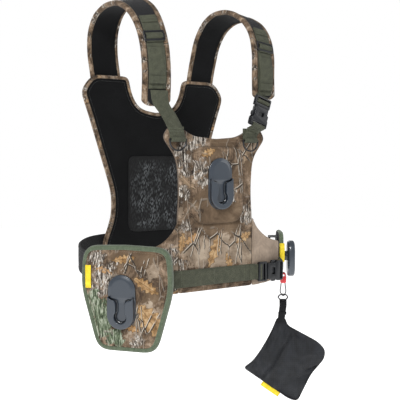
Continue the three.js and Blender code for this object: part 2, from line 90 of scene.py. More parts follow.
SHOULDER_SLOPE = 0.2
TURN_OUT = {"right": 0.2, "left": 0.02}
LEAN = {"right": 0, "left": -20}
SHOULDER_BUCKLE = (4, 110, -180.5, -236, -17)
BELT_LINE = [
    (150, -157.5, -612), (176, -149, -608), (197, -134, -602), (214, -112, -597),
    (232, -82, -594), (246, -40, -590), (248, 10, -586), (230, 66, -579),
    (190, 105, -571), (140, 118, -567), (96, 118, -566),
]
CORD_ROUTE = [
    (-5, -664.4, 0), (-5.6, -672, 0), (-7, -681, 0), (-6.6, -688, 0.6), (-4.2, -691.5, 3.4),
    (-2.2, -694.6, 4.6), (0, -695.8, 4.8), (2.2, -694.6, 4.6), (4.2, -691.5, 3.4),
    (6.6, -688, 0.6), (7, -681, 0), (5.6, -672, 0), (5, -664.4, 0),
]


class Plane:
    """A face that looks towards an azimuth (0 is the wearer's front), with its own right and up."""

    def __init__(self, azimuth, x, y, z=0.0, lean=0.0):
        turn, lean = math.radians(azimuth), math.radians(lean)
        level = np.array([math.cos(turn), math.sin(turn), 0.0])
        upright = np.array([0.0, 0.0, 1.0])
        self.origin = np.array([x, y, z]) * MM
        self.right = level * math.cos(lean) + upright * math.sin(lean)
        self.up = upright * math.cos(lean) - level * math.sin(lean)
        self.out = np.array([math.sin(turn), -math.cos(turn), 0.0])

    def world(self, flat, height):
        flat = np.asarray(flat, float).reshape(-1, 2)
        rise = np.broadcast_to(np.asarray(height, float), (len(flat),))
        return (
            self.origin
            + flat[:, :1] * self.right
            + flat[:, 1:2] * self.up
            + rise[:, None] * self.out
        )

    def local(self, points):
        away = np.asarray(points, float) - self.origin
        return np.stack([away @ self.right, away @ self.up, away @ self.out], axis=1)


def placed(name, data):
    """A new object in the scene."""
    made = bpy.data.objects.new(name, data)
    bpy.context.scene.collection.objects.link(made)
    return made


def stands_in(piece, slot, *nodes):
    """Hides the CAD nodes that a piece is shown instead of; the piece and its slot are not used."""
    if nodes:
        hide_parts(*nodes)


def on_plane(plane, across, up, out):
    """Points on a plane, from millimetres to millimetres."""
    return plane.world(np.column_stack([across, up]) * MM, np.array(out) * MM) / MM


# ---- camera, made first with the cord ----
def add_camera():
    data = bpy.data.cameras.new("camera")
    data.lens = 64.26
    data.sensor_width = 36.0
    camera = placed("camera", data)
    camera.location = (-0.9027, -1.4901, -0.3561)
    forward = Vector((0.5438, 0.8374, -0.0558))
    camera.rotation_euler = forward.to_track_quat("-Z", "Y").to_euler()
    bpy.context.scene.camera = camera


# ---- materials ----
class Look:
    """A node material, with short calls for the nodes used here."""

    def __init__(self, name, roughness=0.8, metallic=0.0, specular=0.5, sheen=0.0, coat=0.0):
        self.material = bpy.data.materials.new(name)
        self.material.use_nodes = True
        self.tree = self.material.node_tree
        self.shader = self.tree.nodes["Principled BSDF"]
        self.shader.inputs["Roughness"].default_value = roughness
        self.shader.inputs["Metallic"].default_value = metallic
        self.shader.inputs["Specular IOR Level"].default_value = specular
        self.shader.inputs["Sheen Weight"].default_value = sheen
        self.shader.inputs["Sheen Roughness"].default_value = 0.5
        self.shader.inputs["Coat Weight"].default_value = coat

    def feed(self, socket, value):
        if isinstance(value, bpy.types.NodeSocket):
            self.tree.links.new(value, socket)
        else:
            socket.default_value = value

    def node(self, kind, values=(), **settings):
        made = self.tree.nodes.new("ShaderNode" + kind)
        for key, value in settings.items():
            setattr(made, key, value)
        for key, value in dict(values).items():
            self.feed(made.inputs[key], value)
        return made

    def math(self, operation, first, second=0.0, third=0.0):
        values = {0: first, 1: second, 2: third}
        return self.node("Math", values, operation=operation).outputs[0]

    def times(self, first, second):
        return self.math("MULTIPLY", first, second)

    def vector(self, operation, values):
        return self.node("VectorMath", values, operation=operation).outputs[0]

    def wavy(self, point, scale, detail, reach):
        """A point that is pushed about by slow noise."""
        push = self.vector("SCALE", {0: self.noise(point, scale, detail), "Scale": reach})
        return self.vector("ADD", {0: point, 1: push})

    def mix(self, factor, first, second, blend="MIX"):
        values = {0: factor, 6: first, 7: second}
        made = self.node("Mix", values, data_type="RGBA", blend_type=blend)
        return made.outputs[2]

    def ramp(self, value, stops):
        made = self.node("ValToRGB", {0: value})
        elements = made.color_ramp.elements
        while len(elements) < len(stops):
            elements.new(0.5)
        for element, (position, color) in zip(elements, stops):
            element.position = position
            element.color = tuple(color) + (1.0,)
        return made.outputs[0]

    def step(self, value, low, high):
        values = {"Value": value, "From Min": low, "From Max": high}
        made = self.node("MapRange", values, interpolation_type="SMOOTHSTEP")
        return made.outputs[0]

    def cloth_point(self):
        return self.node("UVMap", uv_map="metres").outputs[0]

    def object_point(self):
        return self.node("TexCoord").outputs["Object"]

    def moved(self, point, scale=(1, 1, 1), turn=0.0, shift=(0, 0, 0)):
        values = {"Vector": point, "Scale": scale, "Rotation": (0, 0, turn), "Location": shift}
        return self.node("Mapping", values).outputs[0]

    def noise(self, point, scale, detail=3.0, rough=0.5, distortion=0.0):
        values = {
            "Vector": point, "Scale": scale, "Detail": detail,
            "Roughness": rough, "Distortion": distortion,
        }
        return self.node("TexNoise", values).outputs[0]

    def parts(self, point):
        made = self.node("SeparateXYZ", {0: point})
        return made.outputs[0], made.outputs[1]

    def color(self, value):
        self.feed(self.shader.inputs["Base Color"], value)

    def bump(self, height, strength, distance):
        values = {"Height": height, "Strength": strength, "Distance": distance}
        made = self.node("Bump", values)
        self.feed(self.shader.inputs["Normal"], made.outputs[0])


def rgb(r, g, b):
    return (r, g, b, 1.0)


def weave_height(look, point, across, along):
    """Rows of threads across and along a cloth, every other column a half step on."""
    x, y = look.parts(point)
    column = look.math("FLOOR", look.math("DIVIDE", x, across))
    shift = look.times(column, math.pi)
    wave = look.math("SINE", look.math("ADD", look.times(y, 2 * math.pi / along), shift))
    ridge = look.math("ABSOLUTE", look.math("SINE", look.times(x, math.pi / across)))
    return look.times(look.math("MULTIPLY_ADD", wave, 0.5, 0.5), ridge)


def webbing_look(name, base, dark, across=1.3, along=1.7):
    look = Look(name, roughness=0.82, specular=0.25, sheen=0.05)
    point = look.cloth_point()
    height = weave_height(look, point, across * MM, along * MM)
    worn = look.noise(point, 90, 4)
    color = look.mix(look.step(height, 0.05, 0.75), dark, base)
    lighter = look.mix(look.step(worn, 0.35, 0.75), (0.82, 0.82, 0.82, 1), (1.16, 1.15, 1.12, 1))
    look.color(look.mix(1.0, color, lighter, "MULTIPLY"))
    look.bump(height, 0.55, 0.0007)
    return look.material


def leaf_shape(look, s, t, long, wide):
    """A lobed leaf lying along s: its mask, its veins and its dark outline."""
    share = look.math("DIVIDE", s, long)
    belly = look.math("SUBTRACT", 1.0, look.times(share, share))
    lobes = look.math("SINE", look.times(share, 19.0))
    edge = look.times(belly, look.math("MULTIPLY_ADD", lobes, 0.24 * wide, wide))
    rough = look.noise(look.cloth_point(), 260, 4, 0.7)
    ragged = look.math("MULTIPLY_ADD", rough, 0.5 * wide, -0.25 * wide)
    edge = look.math("ADD", edge, ragged)
    depth = look.math("SUBTRACT", edge, look.math("ABSOLUTE", t))
    mask = look.step(depth, 0.0, 0.0009)
    slant = look.math("ADD", look.math("ABSOLUTE", t), look.times(s, -0.8))
    ribs = look.math("ABSOLUTE", look.math("SINE", look.times(slant, 700)))
    side_veins = look.step(ribs, 0.30, 0.0)
    middle = look.step(look.math("ABSOLUTE", t), 0.0012, 0.0003)
    veins = look.math("MAXIMUM", middle, look.times(side_veins, 0.6))
    outline = look.times(mask, look.step(depth, 0.0026, 0.0006))
    return mask, veins, outline


def scattered_leaves(look, point, per_metre, long, wide, seed):
    shifted = look.moved(point, shift=(seed, seed * 0.37, 0))
    cells = look.node(
        "TexVoronoi", {"Vector": shifted, "Scale": per_metre, "Randomness": 0.85},
        voronoi_dimensions="2D", feature="F1",
    )
    away = look.vector("SUBTRACT", {0: shifted, 1: cells.outputs["Position"]})
    pick = look.node("SeparateColor", {0: cells.outputs["Color"]})
    angle = look.times(pick.outputs[0], 6.283)
    turned = look.node(
        "VectorRotate", {"Vector": away, "Angle": angle}, rotation_type="Z_AXIS"
    )
    s, t = look.parts(turned.outputs[0])
    return leaf_shape(look, s, t, long, wide) + (pick.outputs[1],)


def spots(look, point, places):
    """Ragged patches of a cloth, each at its own place and reach in millimetres."""
    ragged = look.vector("SUBTRACT", {0: look.noise(point, 42, 5, 0.7), 1: (0.5, 0.5, 0.5)})
    ragged = look.vector("SCALE", {0: ragged, "Scale": 0.07})
    torn = look.vector("ADD", {0: point, 1: ragged})
    total = 0.0
    for x, y, reach in places:
        gap = look.node("VectorMath", {0: torn, 1: (x * MM, y * MM, 0)}, operation="DISTANCE")
        disc = look.step(gap.outputs["Value"], reach * MM, 0.8 * reach * MM)
        total = look.math("MAXIMUM", disc, total)
    return total


def streaked(look, point, turn, fine=260):
    """Long pale and dark streaks, as on bark, across a direction."""
    bent = look.wavy(point, 30, 2, 0.02)
    return look.noise(look.moved(bent, scale=(1, 0.14, 1), turn=turn), fine, 4, 0.6)


def branches(look, point, turn, per_metre, seed):
    """A broken network of straight twigs: how far every place is from the nearest one."""
    bent = look.moved(look.wavy(point, 35, 3, 0.012), scale=(1, 0.42, 1), turn=turn,
                      shift=(seed, seed, 0))
    cells = look.node(
        "TexVoronoi", {"Vector": bent, "Scale": per_metre}, voronoi_dimensions="2D",
        feature="DISTANCE_TO_EDGE",
    )
    return look.math("DIVIDE", cells.outputs["Distance"], per_metre)


LIGHT_BROWNS = [
    (0.3, (0.20, 0.155, 0.118)), (0.6, (0.31, 0.245, 0.19)), (0.75, (0.38, 0.31, 0.25)),
]
ALL_BROWNS = [
    (0.32, (0.017, 0.013, 0.010)), (0.42, (0.060, 0.041, 0.028)), (0.50, (0.125, 0.086, 0.056)),
    (0.58, (0.215, 0.155, 0.108)), (0.68, (0.36, 0.29, 0.22)),
]
GRAIN = [(0.3, (0.5, 0.48, 0.45)), (0.5, (0.95, 0.95, 0.95)), (0.7, (1.5, 1.46, 1.4))]
TANS = [(0.32, (0.11, 0.082, 0.058)), (0.5, (0.235, 0.18, 0.13)), (0.68, (0.38, 0.31, 0.235))]
DARK_BROWNS = [
    (0.3, (0.055, 0.036, 0.022)), (0.55, (0.130, 0.088, 0.055)), (0.75, (0.20, 0.145, 0.095)),
]
MOSS_GREENS = [
    (0.40, (0.030, 0.040, 0.024)), (0.50, (0.105, 0.135, 0.080)), (0.62, (0.34, 0.37, 0.29)),
]
SMALL_LEAF = [
    (0.45, (0.16, 0.095, 0.045)), (0.6, (0.30, 0.20, 0.12)), (0.8, (0.36, 0.20, 0.08)),
    (1.0, (0.22, 0.155, 0.10)),
]
LARGE_LEAF = [
    (0.36, (0.13, 0.070, 0.028)), (0.48, (0.30, 0.175, 0.075)), (0.60, (0.47, 0.32, 0.17)),
]
PALE_BARK = [
    (0.40, (0.018, 0.015, 0.013)), (0.47, (0.080, 0.066, 0.054)), (0.52, (0.215, 0.185, 0.155)),
    (0.58, (0.46, 0.425, 0.38)), (0.66, (0.64, 0.61, 0.57)),
]
LEAF_OUTLINE = (0.030, 0.020, 0.013, 1.0)
# each set of twigs has a turn, a number per metre, a width and a shift
TWIG_SETS = [(0.75, 17, 0.0014, 2.0), (-0.85, 21, 0.0010, 7.0), (-1.35, 19, 0.0012, 11.0)]


def small_leaves(look, point, ground, scatter):
    """Small leaves at random; a larger scatter shows more of them."""
    mask, veins, outline, pick = scattered_leaves(look, point, 17, 0.026, 0.0085, 1.7)
    some = look.times(mask, look.math("GREATER_THAN", pick, 1.0 - 0.55 * scatter))
    leaf = look.mix(look.times(veins, 0.5), look.ramp(pick, SMALL_LEAF), rgb(0.42, 0.33, 0.23))
    return look.mix(some, ground, look.mix(outline, leaf, LEAF_OUTLINE))


def large_leaf(look, point, ground, x, y, turn, long, wide):
    """One lobed leaf at its own place, in millimetres."""
    away = look.vector("SUBTRACT", {0: point, 1: (x * MM, y * MM, 0)})
    values = {"Vector": away, "Angle": -math.radians(turn)}
    turned = look.node("VectorRotate", values, rotation_type="Z_AXIS")
    s, t = look.parts(turned.outputs[0])
    mask, veins, outline = leaf_shape(look, s, t, long * MM, wide * MM)
    leaf = look.ramp(look.noise(point, 70, 5, 0.7), LARGE_LEAF)
    leaf = look.mix(look.times(veins, 0.6), leaf, rgb(0.075, 0.045, 0.022))
    return look.mix(look.times(mask, 0.9), ground, look.mix(outline, leaf, LEAF_OUTLINE))


def pale_bark(look, point, ground, places):
    """Pale bark in streaks over dark gaps, in its patches or else here and there."""
    if places:
        where = spots(look, point, places)
    else:
        where = look.step(look.noise(look.moved(point, shift=(3, 1, 0)), 13, 4, 0.6), 0.555, 0.60)
    steep = look.step(look.noise(point, 12, 1), 0.47, 0.53)
    streaks = look.mix(steep, streaked(look, point, 0.95, 300), streaked(look, point, -0.15, 300))
    torn = look.step(look.noise(point, 75, 4, 0.7), 0.38, 0.50)
    return look.mix(look.times(where, torn), ground, look.ramp(streaks, PALE_BARK))


def crossing_twigs(look, point, ground, places):
    """Twigs that are pale on the side that catches the light, and dark below."""
    here = look.step(look.noise(look.moved(point, shift=(7, 2, 0)), 16, 2), 0.52, 0.56)
    if places:
        here = look.math("MAXIMUM", look.times(here, 0.35), spots(look, point, places))
    for turn, per_metre, width, seed in TWIG_SETS:
        lit = branches(look, look.moved(point, shift=(0.0013, -0.0013, 0)), turn, per_metre, seed)
        dark = branches(look, point, turn, per_metre, seed)
        pale = look.times(look.step(lit, width, 0.4 * width), here)
        ground = look.mix(look.times(pale, 0.8), ground, rgb(0.50, 0.45, 0.385))
        deep = look.times(look.step(dark, width, 0.5 * width), here)
        ground = look.mix(look.times(deep, 0.95), ground, rgb(0.022, 0.016, 0.011))
    return ground


def camo_look(name, bark=(), tan=(), twigs=(), plain=(), moss=(), single_leaves=(), small=1.0,
              scatter=0.5, all_tan=False):
    """A generic woodland print: mottled brown, pale bark, crossing twigs and fallen leaves.

    bark, tan, twigs, plain and moss are patches (x, y, reach); single_leaves are (x, y, turn, long,
    wide), all in millimetres on the cloth.
    """
    look = Look(name, roughness=0.9, specular=0.15, sheen=0.05)
    point = look.moved(look.cloth_point(), scale=(small, small, 1))
    mottle = look.noise(point, 26, 8, 0.66, 0.6)
    ground = look.ramp(mottle, LIGHT_BROWNS if all_tan else ALL_BROWNS)
    tone = look.ramp(streaked(look, point, 0.2, 420), GRAIN)
    ground = look.mix(0.25 if all_tan else 0.8, ground, tone, "MULTIPLY")
    for places, tones in ((tan, TANS), (plain, DARK_BROWNS)):
        if places:
            ground = look.mix(spots(look, point, places), ground, look.ramp(mottle, tones))
    if moss:
        fern = look.ramp(streaked(look, point, 1.0, 330), MOSS_GREENS)
        ground = look.mix(spots(look, point, moss), ground, fern)
    if not all_tan:
        ground = small_leaves(look, point, ground, scatter)
        for leaf in single_leaves:
            ground = large_leaf(look, point, ground, *leaf)
        ground = pale_bark(look, point, ground, bark)
        ground = crossing_twigs(look, point, ground, twigs)
    look.color(ground)
    look.bump(look.noise(point, 1500, 2), 0.35, 0.0004)
    return look.material


def lining_look(name, base, light):
    look = Look(name, roughness=0.95, specular=0.15, sheen=0.04)
    point = look.object_point()
    nap = look.noise(point, 900, 3, 0.6)
    folds = look.noise(point, 14, 3)
    color = look.mix(look.step(nap, 0.4, 0.75), base, light)
    shade = look.mix(look.step(folds, 0.3, 0.7), rgb(0.8, 0.8, 0.8), rgb(1.25, 1.25, 1.25))
    look.color(look.mix(1.0, color, shade, "MULTIPLY"))
    look.bump(nap, 0.5, 0.0005)
    return look.material


def mesh_look():
    """Black spacer mesh: slanting rows of short threads between dark holes, with painted highlights on the
    threads that are uneven and fade out towards the mesh's edges.
    """
    look = Look("spacer_mesh", roughness=0.7, specular=0.3)
    point = look.cloth_point()
    bent = look.moved(look.wavy(point, 18, 3, 0.03), scale=(1, 0.42, 1), turn=0.95)
    cells = look.node("TexVoronoi", {"Vector": bent, "Scale": 230, "Randomness": 0.75},
                      voronoi_dimensions="2D", feature="F1")
    thread = look.step(cells.outputs["Distance"], 0.50, 0.22)
    patchy = look.step(look.noise(look.moved(point, scale=(1, 0.6, 1)), 38, 4, 0.6), 0.42, 0.66)
    across, up = look.parts(point)
    side = look.step(look.math("ABSOLUTE", across), 0.084, 0.060)
    ends = look.step(look.math("ABSOLUTE", look.math("SUBTRACT", up, MESH_MIDDLE_Z * MM)), 0.096, 0.066)
    # painted highlights on the threads: patchy, and fading out towards the mesh's sides and ends
    lit = look.times(look.math("MULTIPLY_ADD", patchy, 0.85, 0.08), look.times(side, ends))
    shine = look.times(thread, lit)
    look.color(look.mix(shine, rgb(0.0030, 0.0031, 0.0035), rgb(0.118, 0.128, 0.134)))
    look.bump(thread, 0.7, 0.0012)
    return look.material


def ribbed_look(name, base, dark):
    """Ribbed binding tape; the ribs cross it."""
    look = Look(name, roughness=0.85, specular=0.3, sheen=0.25)
    point = look.cloth_point()
    x, _ = look.parts(point)
    ribs = look.math("SINE", look.times(x, 2 * math.pi / 0.0013))
    rib = look.math("MULTIPLY_ADD", ribs, 0.5, 0.5)
    worn = look.noise(point, 160, 4)
    color = look.mix(look.step(rib, 0.1, 0.7), dark, base)
    tint = look.mix(look.step(worn, 0.35, 0.7), rgb(0.84, 0.86, 0.82), rgb(1.15, 1.14, 1.12))
    look.color(look.mix(1.0, color, tint, "MULTIPLY"))
    look.bump(rib, 0.5, 0.0005)
    return look.material


def plastic_look(name, base, roughness, coat=0.0, grain=0.25, shaded=0.0):
    look = Look(name, roughness=roughness, specular=0.5, coat=coat)
    point = look.object_point()
    fine = look.noise(point, 2600, 2)
    haze = look.noise(point, 38, 4, 0.6)
    darker = tuple(c * 0.78 for c in base[:3]) + (1.0,)
    lighter = tuple(c * 1.25 for c in base[:3]) + (1.0,)
    look.color(look.mix(look.step(haze, 0.3, 0.72), darker, lighter))
    rough = look.node("MapRange", {"Value": haze, "To Min": roughness - 0.07, "To Max": roughness + 0.10})
    look.feed(look.shader.inputs["Roughness"], rough.outputs[0])
    look.bump(fine, grain, 0.0002)
    # shaded: painted shade. Where ambient occlusion finds the surface hidden within this distance, in
    # recesses and grooves, the colour goes near-black.
    if shaded:
        cover = look.node("AmbientOcclusion", {"Distance": shaded}, samples=12).outputs["AO"]
        deep = look.step(cover, 0.70, 0.35)
        look.color(look.mix(deep, base, rgb(0.002, 0.002, 0.003)))
    return look.material


def steel_look():
    look = Look("black_steel", roughness=0.32, metallic=0.85)
    point = look.object_point()
    worn = look.noise(point, 420, 5, 0.65)
    look.color(look.mix(look.step(worn, 0.58, 0.72), rgb(0.035, 0.036, 0.038), rgb(0.16, 0.16, 0.165)))
    look.bump(look.noise(point, 1800, 2), 0.12, 0.0002)
    return look.material


def ripstop_look():
    """Coated black nylon with the raised grid of ripstop."""
    look = Look("ripstop", roughness=0.52, specular=0.35, sheen=0.0)
    point = look.cloth_point()
    x, y = look.parts(point)
    lines = []
    for value in (x, y):
        wave = look.math("ABSOLUTE", look.math("SINE", look.times(value, math.pi / 0.0052)))
        lines.append(look.step(wave, 0.16, 0.03))
    grid = look.math("MAXIMUM", *lines)
    fine = weave_height(look, point, 0.00045, 0.00045)
    creases = look.noise(look.moved(point, scale=(1, 0.5, 1), turn=0.8), 48, 6, 0.6, 0.6)
    # the colour follows the crease noise: painted shade in the hollows of the creases and painted light on
    # their ridges
    color = look.mix(look.step(creases, 0.35, 0.7), rgb(0.0042, 0.0050, 0.0068), rgb(0.0125, 0.0145, 0.0190))
    look.color(look.mix(look.times(grid, 0.5), color, rgb(0.020, 0.022, 0.026)))
    height = look.math("ADD", look.times(grid, 0.25), look.times(fine, 0.1))
    look.bump(look.math("ADD", height, look.times(creases, 2.6)), 0.7, 0.0022)
    return look.material


def tag_look():
    look = Look("yellow_tag", roughness=0.6, specular=0.35, sheen=0.1)
    point = look.cloth_point()
    fine = weave_height(look, point, 0.0005, 0.0006)
    soiled = look.noise(point, 120, 4)
    color = look.mix(look.step(soiled, 0.35, 0.75), rgb(0.70, 0.52, 0.012), rgb(0.86, 0.68, 0.035))
    look.color(color)
    look.bump(fine, 0.35, 0.0003)
    return look.material


def cord_look():
    """A braided cord; the pattern turns with the cord's own surface."""
    look = Look("braided_cord", roughness=0.6, specular=0.4, sheen=0.1)
    point = look.moved(look.object_point(), scale=(1, 1, 0.6))
    braid = look.noise(point, 1400, 2)
    look.color(look.mix(look.step(braid, 0.4, 0.65), rgb(0.012, 0.012, 0.013), rgb(0.06, 0.06, 0.065)))
    look.bump(braid, 0.6, 0.0003)
    return look.material


def thread_look(name, base):
    look = Look(name, roughness=0.7, specular=0.4, sheen=0.2)
    twist = look.noise(look.object_point(), 2500, 2)
    darker = tuple(c * 0.6 for c in base[:3]) + (1.0,)
    look.color(look.mix(look.step(twist, 0.35, 0.65), darker, base))
    return look.material


CAMO = camo_look("camo_cloth")
CAMO_EDGES = camo_look("camo_cloth_edges", small=1.7, scatter=0.3)
CAMO_TAN = camo_look("camo_cloth_tan", all_tan=True)
CAMO_BARK = camo_look("camo_cloth_bark", bark=[(-120, -560, 26), (-150, -600, 30), (-112, -620, 22)],
                      tan=[(-108, -590, 14), (-134, -570, 12)])
CAMO_CHEST = camo_look(
    "camo_cloth_chest",
    bark=[(-78, -352, 40), (-50, -322, 26), (-40, -380, 26), (-90, -430, 20), (86, -482, 26),
          (-84, -500, 16), (-100, -590, 18)],
    tan=[(-48, -560, 40), (10, -562, 46), (70, -560, 44), (-96, -470, 12)],
    plain=[(20, -310, 36), (-20, -500, 40), (40, -498, 30), (92, -370, 22)],
    twigs=[(-60, -536, 34), (0, -540, 34), (60, -556, 44), (86, -330, 30)],
    single_leaves=[(-6, -558, 68, 44, 13), (74, -534, 28, 26, 10), (-92, -536, 80, 26, 9),
                   (34, -588, 110, 26, 9)],
)
CAMO_BOSS = camo_look(
    "camo_cloth_boss",
    bark=[(-52, -372, 24), (-44, -404, 14), (34, -440, 16)],
    plain=[(-10, -470, 46), (30, -480, 40), (-44, -446, 24), (-20, -338, 26), (52, -390, 20)],
    twigs=[(46, -360, 40), (50, -420, 20)],
    single_leaves=[(-30, -340, 20, 24, 9)],
    scatter=0.2,
)
CAMO_GREEN = camo_look(
    "camo_cloth_mossy",
    bark=[(-66, 84, 24), (-52, 34, 30), (24, -88, 15), (-30, 70, 12)],
    moss=[(-66, -26, 32), (-56, -62, 28), (-26, -86, 24), (-74, 2, 16)],
    tan=[(52, -30, 34), (60, 60, 18), (20, -64, 22)],
    plain=[(-4, 92, 30), (40, 88, 26), (60, 10, 20)],
    twigs=[(40, -40, 34), (20, 70, 30)],
    single_leaves=[(56, -44, 128, 46, 22), (46, 30, 150, 34, 12), (-4, 84, 10, 30, 9)],
    scatter=0.35,
)
OLIVE = webbing_look("olive_webbing", rgb(0.112, 0.118, 0.082), rgb(0.034, 0.037, 0.024))
BLACK_WEBBING = webbing_look("black_webbing", rgb(0.014, 0.015, 0.017), rgb(0.005, 0.005, 0.006))
CHARCOAL = webbing_look("charcoal_cloth", rgb(0.016, 0.017, 0.020), rgb(0.006, 0.006, 0.007), 0.9, 1.1)
LINING = lining_look("black_lining", rgb(0.0022, 0.0023, 0.0026), rgb(0.0075, 0.008, 0.0088))
SPACER = mesh_look()
GREEN_TAPE = ribbed_look("sage_binding", rgb(0.118, 0.150, 0.098), rgb(0.048, 0.064, 0.040))
BLACK_PLASTIC = plastic_look("black_plastic", rgb(0.0035, 0.0045, 0.0065), 0.36, grain=0.12)
# the dock plastic has painted shade in its recesses, from the ambient occlusion in its colour
DOCK_PLASTIC = plastic_look("dock_plastic", rgb(0.028, 0.037, 0.050), 0.36, coat=0.45, grain=0.12,
                            shaded=0.006)
STEEL = steel_look()
YELLOW = tag_look()
RED = plastic_look("red_plastic", rgb(0.62, 0.018, 0.025), 0.34, coat=0.2, grain=0.1)
RIPSTOP = ripstop_look()
CORD = cord_look()
TAN_THREAD = thread_look("tan_thread", rgb(0.24, 0.17, 0.10))
OLIVE_THREAD = thread_look("olive_thread", rgb(0.15, 0.165, 0.10))
BLACK_THREAD = thread_look("black_thread", rgb(0.035, 0.036, 0.038))
GREEN_THREAD = thread_look("green_thread", rgb(0.16, 0.21, 0.12))


# ---- mesh helpers ----
def make(name, verts, faces, looks, body, uv=None, picks=None):
    """A smooth mesh object that rides on a body. picks gives each face's material."""
    mesh = bpy.data.meshes.new(name)
    mesh.from_pydata([tuple(map(float, v)) for v in verts], [], faces)
    for look in looks:
        mesh.materials.append(look)
    if picks is not None:
        mesh.polygons.foreach_set("material_index", np.asarray(picks, np.int32))
    if uv is not None:
        layer = mesh.uv_layers.new(name="metres")
        corner = np.empty(len(mesh.loops), np.int32)
        mesh.loops.foreach_get("vertex_index", corner)
        layer.data.foreach_set("uv", np.asarray(uv, np.float32)[corner].ravel())
    work = bmesh.new()
    work.from_mesh(mesh)
    bmesh.ops.recalc_face_normals(work, faces=work.faces)
    work.to_mesh(mesh)
    work.free()
    mesh.polygons.foreach_set("use_smooth", np.ones(len(mesh.polygons), bool))
    mesh.update()
    piece = placed(name, mesh)
    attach(piece, body)
    return piece


def applied(piece):
    """Bakes a piece's modifiers into its mesh."""
    graph = bpy.context.evaluated_depsgraph_get()
    mesh = bpy.data.meshes.new_from_object(piece.evaluated_get(graph))
    piece.modifiers.clear()
    piece.data = mesh
    return piece


def hard(node, look, width=0.7, segments=2, angle=32):
    """A moulded or bent part: its CAD solid with rounded edges."""
    mesh = NODES[node].data.copy()
    work = bmesh.new()
    work.from_mesh(mesh)
    bmesh.ops.remove_doubles(work, verts=work.verts, dist=1e-6)
    bmesh.ops.dissolve_limit(
        work, angle_limit=math.radians(1.0), verts=work.verts, edges=work.edges
    )
    work.to_mesh(mesh)
    work.free()
    mesh.materials.clear()
    mesh.materials.append(look)
    piece = placed(node + "_finished", mesh)
    bevel = piece.modifiers.new("edges", "BEVEL")
    bevel.width = width * MM
    bevel.segments = segments
    bevel.limit_method = "ANGLE"
    bevel.angle_limit = math.radians(angle)
    bevel.use_clamp_overlap = True
    applied(piece)
    piece.data.polygons.foreach_set("use_smooth", np.ones(len(piece.data.polygons), bool))
    piece.data.set_sharp_from_angle(angle=math.radians(38))
    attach(piece, BODY_OF[node])
    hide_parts(node)
    return piece


def middle_of(node):
    """The middle of a CAD node's box, in millimetres."""
    low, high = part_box(node)
    return (low + high) / 2 * 1000


def heights_of(node, plane):
    """A CAD node's lowest and highest points over a plane, in millimetres."""
    heights = plane.local([v.co for v in NODES[node].data.vertices])[:, 2] / MM
    return heights.min(), heights.max()


def loops_of(node, plane):
    """The closed edges of a CAD node's flat face that looks out of a plane, longest first."""
    mesh = NODES[node].data
    coords = np.array([v.co for v in mesh.vertices])
    key = {}
    same = [key.setdefault(tuple(np.round(c, 5)), len(key)) for c in coords]
    place = {k: coords[i] for i, k in enumerate(same)}
    level = (coords @ plane.out).max()
    used = {}
    for face in mesh.polygons:
        ids = [same[i] for i in face.vertices]
        if abs(max(place[i] @ plane.out for i in ids) - level) > 1e-5:
            continue
        if np.array(face.normal) @ plane.out < 0.99:
            continue
        for a, b in zip(ids, ids[1:] + ids[:1]):
            used[(a, b)] = used.get((a, b), 0) + 1
    after = {a: b for (a, b) in used if (b, a) not in used}
    loops = []
    while after:
        start, nxt = after.popitem()
        loop = [start]
        while nxt != start and nxt in after:
            loop.append(nxt)
            nxt = after.pop(nxt)
        loops.append(plane.local([place[i] for i in loop])[:, :2])
    loops.sort(key=lambda p: -np.linalg.norm(np.roll(p, -1, 0) - p, axis=1).sum())
    return loops


def resampled(points, step, closed=True):
    """Points spread evenly along a line, about a step apart."""
    points = np.asarray(points, float)
    if closed:
        points = np.vstack([points, points[:1]])
    gaps = np.linalg.norm(np.diff(points, axis=0), axis=1)
    run = np.concatenate([[0], np.cumsum(gaps)])
    count = max(3, int(round(run[-1] / step)))
    want = np.linspace(0, run[-1], count + (0 if closed else 1), endpoint=not closed)
    return np.stack([np.interp(want, run, points[:, k]) for k in range(points.shape[1])], axis=1)


def smoothed(loop, rounds):
    for _ in range(rounds):
        loop = 0.5 * loop + 0.25 * (np.roll(loop, 1, 0) + np.roll(loop, -1, 0))
    return loop


def anticlockwise(loop):
    x, y = loop[:, 0], loop[:, 1]
    area = (x * np.roll(y, -1) - np.roll(x, -1) * y).sum()
    return loop if area > 0 else loop[::-1]


def soft_outline(loop, step=2.5, rounds=6):
    return smoothed(anticlockwise(resampled(loop, step * MM)), rounds)


def inset(loop, distance):
    """The loop moved inwards by a distance, or outwards when it is negative."""
    along = np.roll(loop, -1, 0) - np.roll(loop, 1, 0)
    along /= np.linalg.norm(along, axis=1)[:, None]
    inward = np.stack([-along[:, 1], along[:, 0]], axis=1)
    return loop + inward * distance


def distance_to(loop, points):
    """How far each point is from a closed line."""
    start = loop
    run = np.roll(loop, -1, 0) - loop
    size = (run ** 2).sum(1)
    best = np.full(len(points), np.inf)
    for a, d, s in zip(start, run, size):
        share = np.clip(((points - a) @ d) / s, 0, 1)
        gap = points - a - share[:, None] * d
        best = np.minimum(best, (gap ** 2).sum(1))
    return np.sqrt(best)


def inside(loop, points):
    result = np.zeros(len(points), bool)
    x, y = points[:, 0], points[:, 1]
    for (x0, y0), (x1, y1) in zip(loop, np.roll(loop, -1, 0)):
        if y0 == y1:
            continue
        crosses = (y0 > y) != (y1 > y)
        result ^= crosses & (x < (x1 - x0) * (y - y0) / (y1 - y0) + x0)
    return result


def bumpy(flat, scale, size, seed):
    """Slow, repeatable unevenness of cloth over padding."""
    return np.array([noise.noise(Vector((x * scale, y * scale, seed))) for x, y in flat]) * size


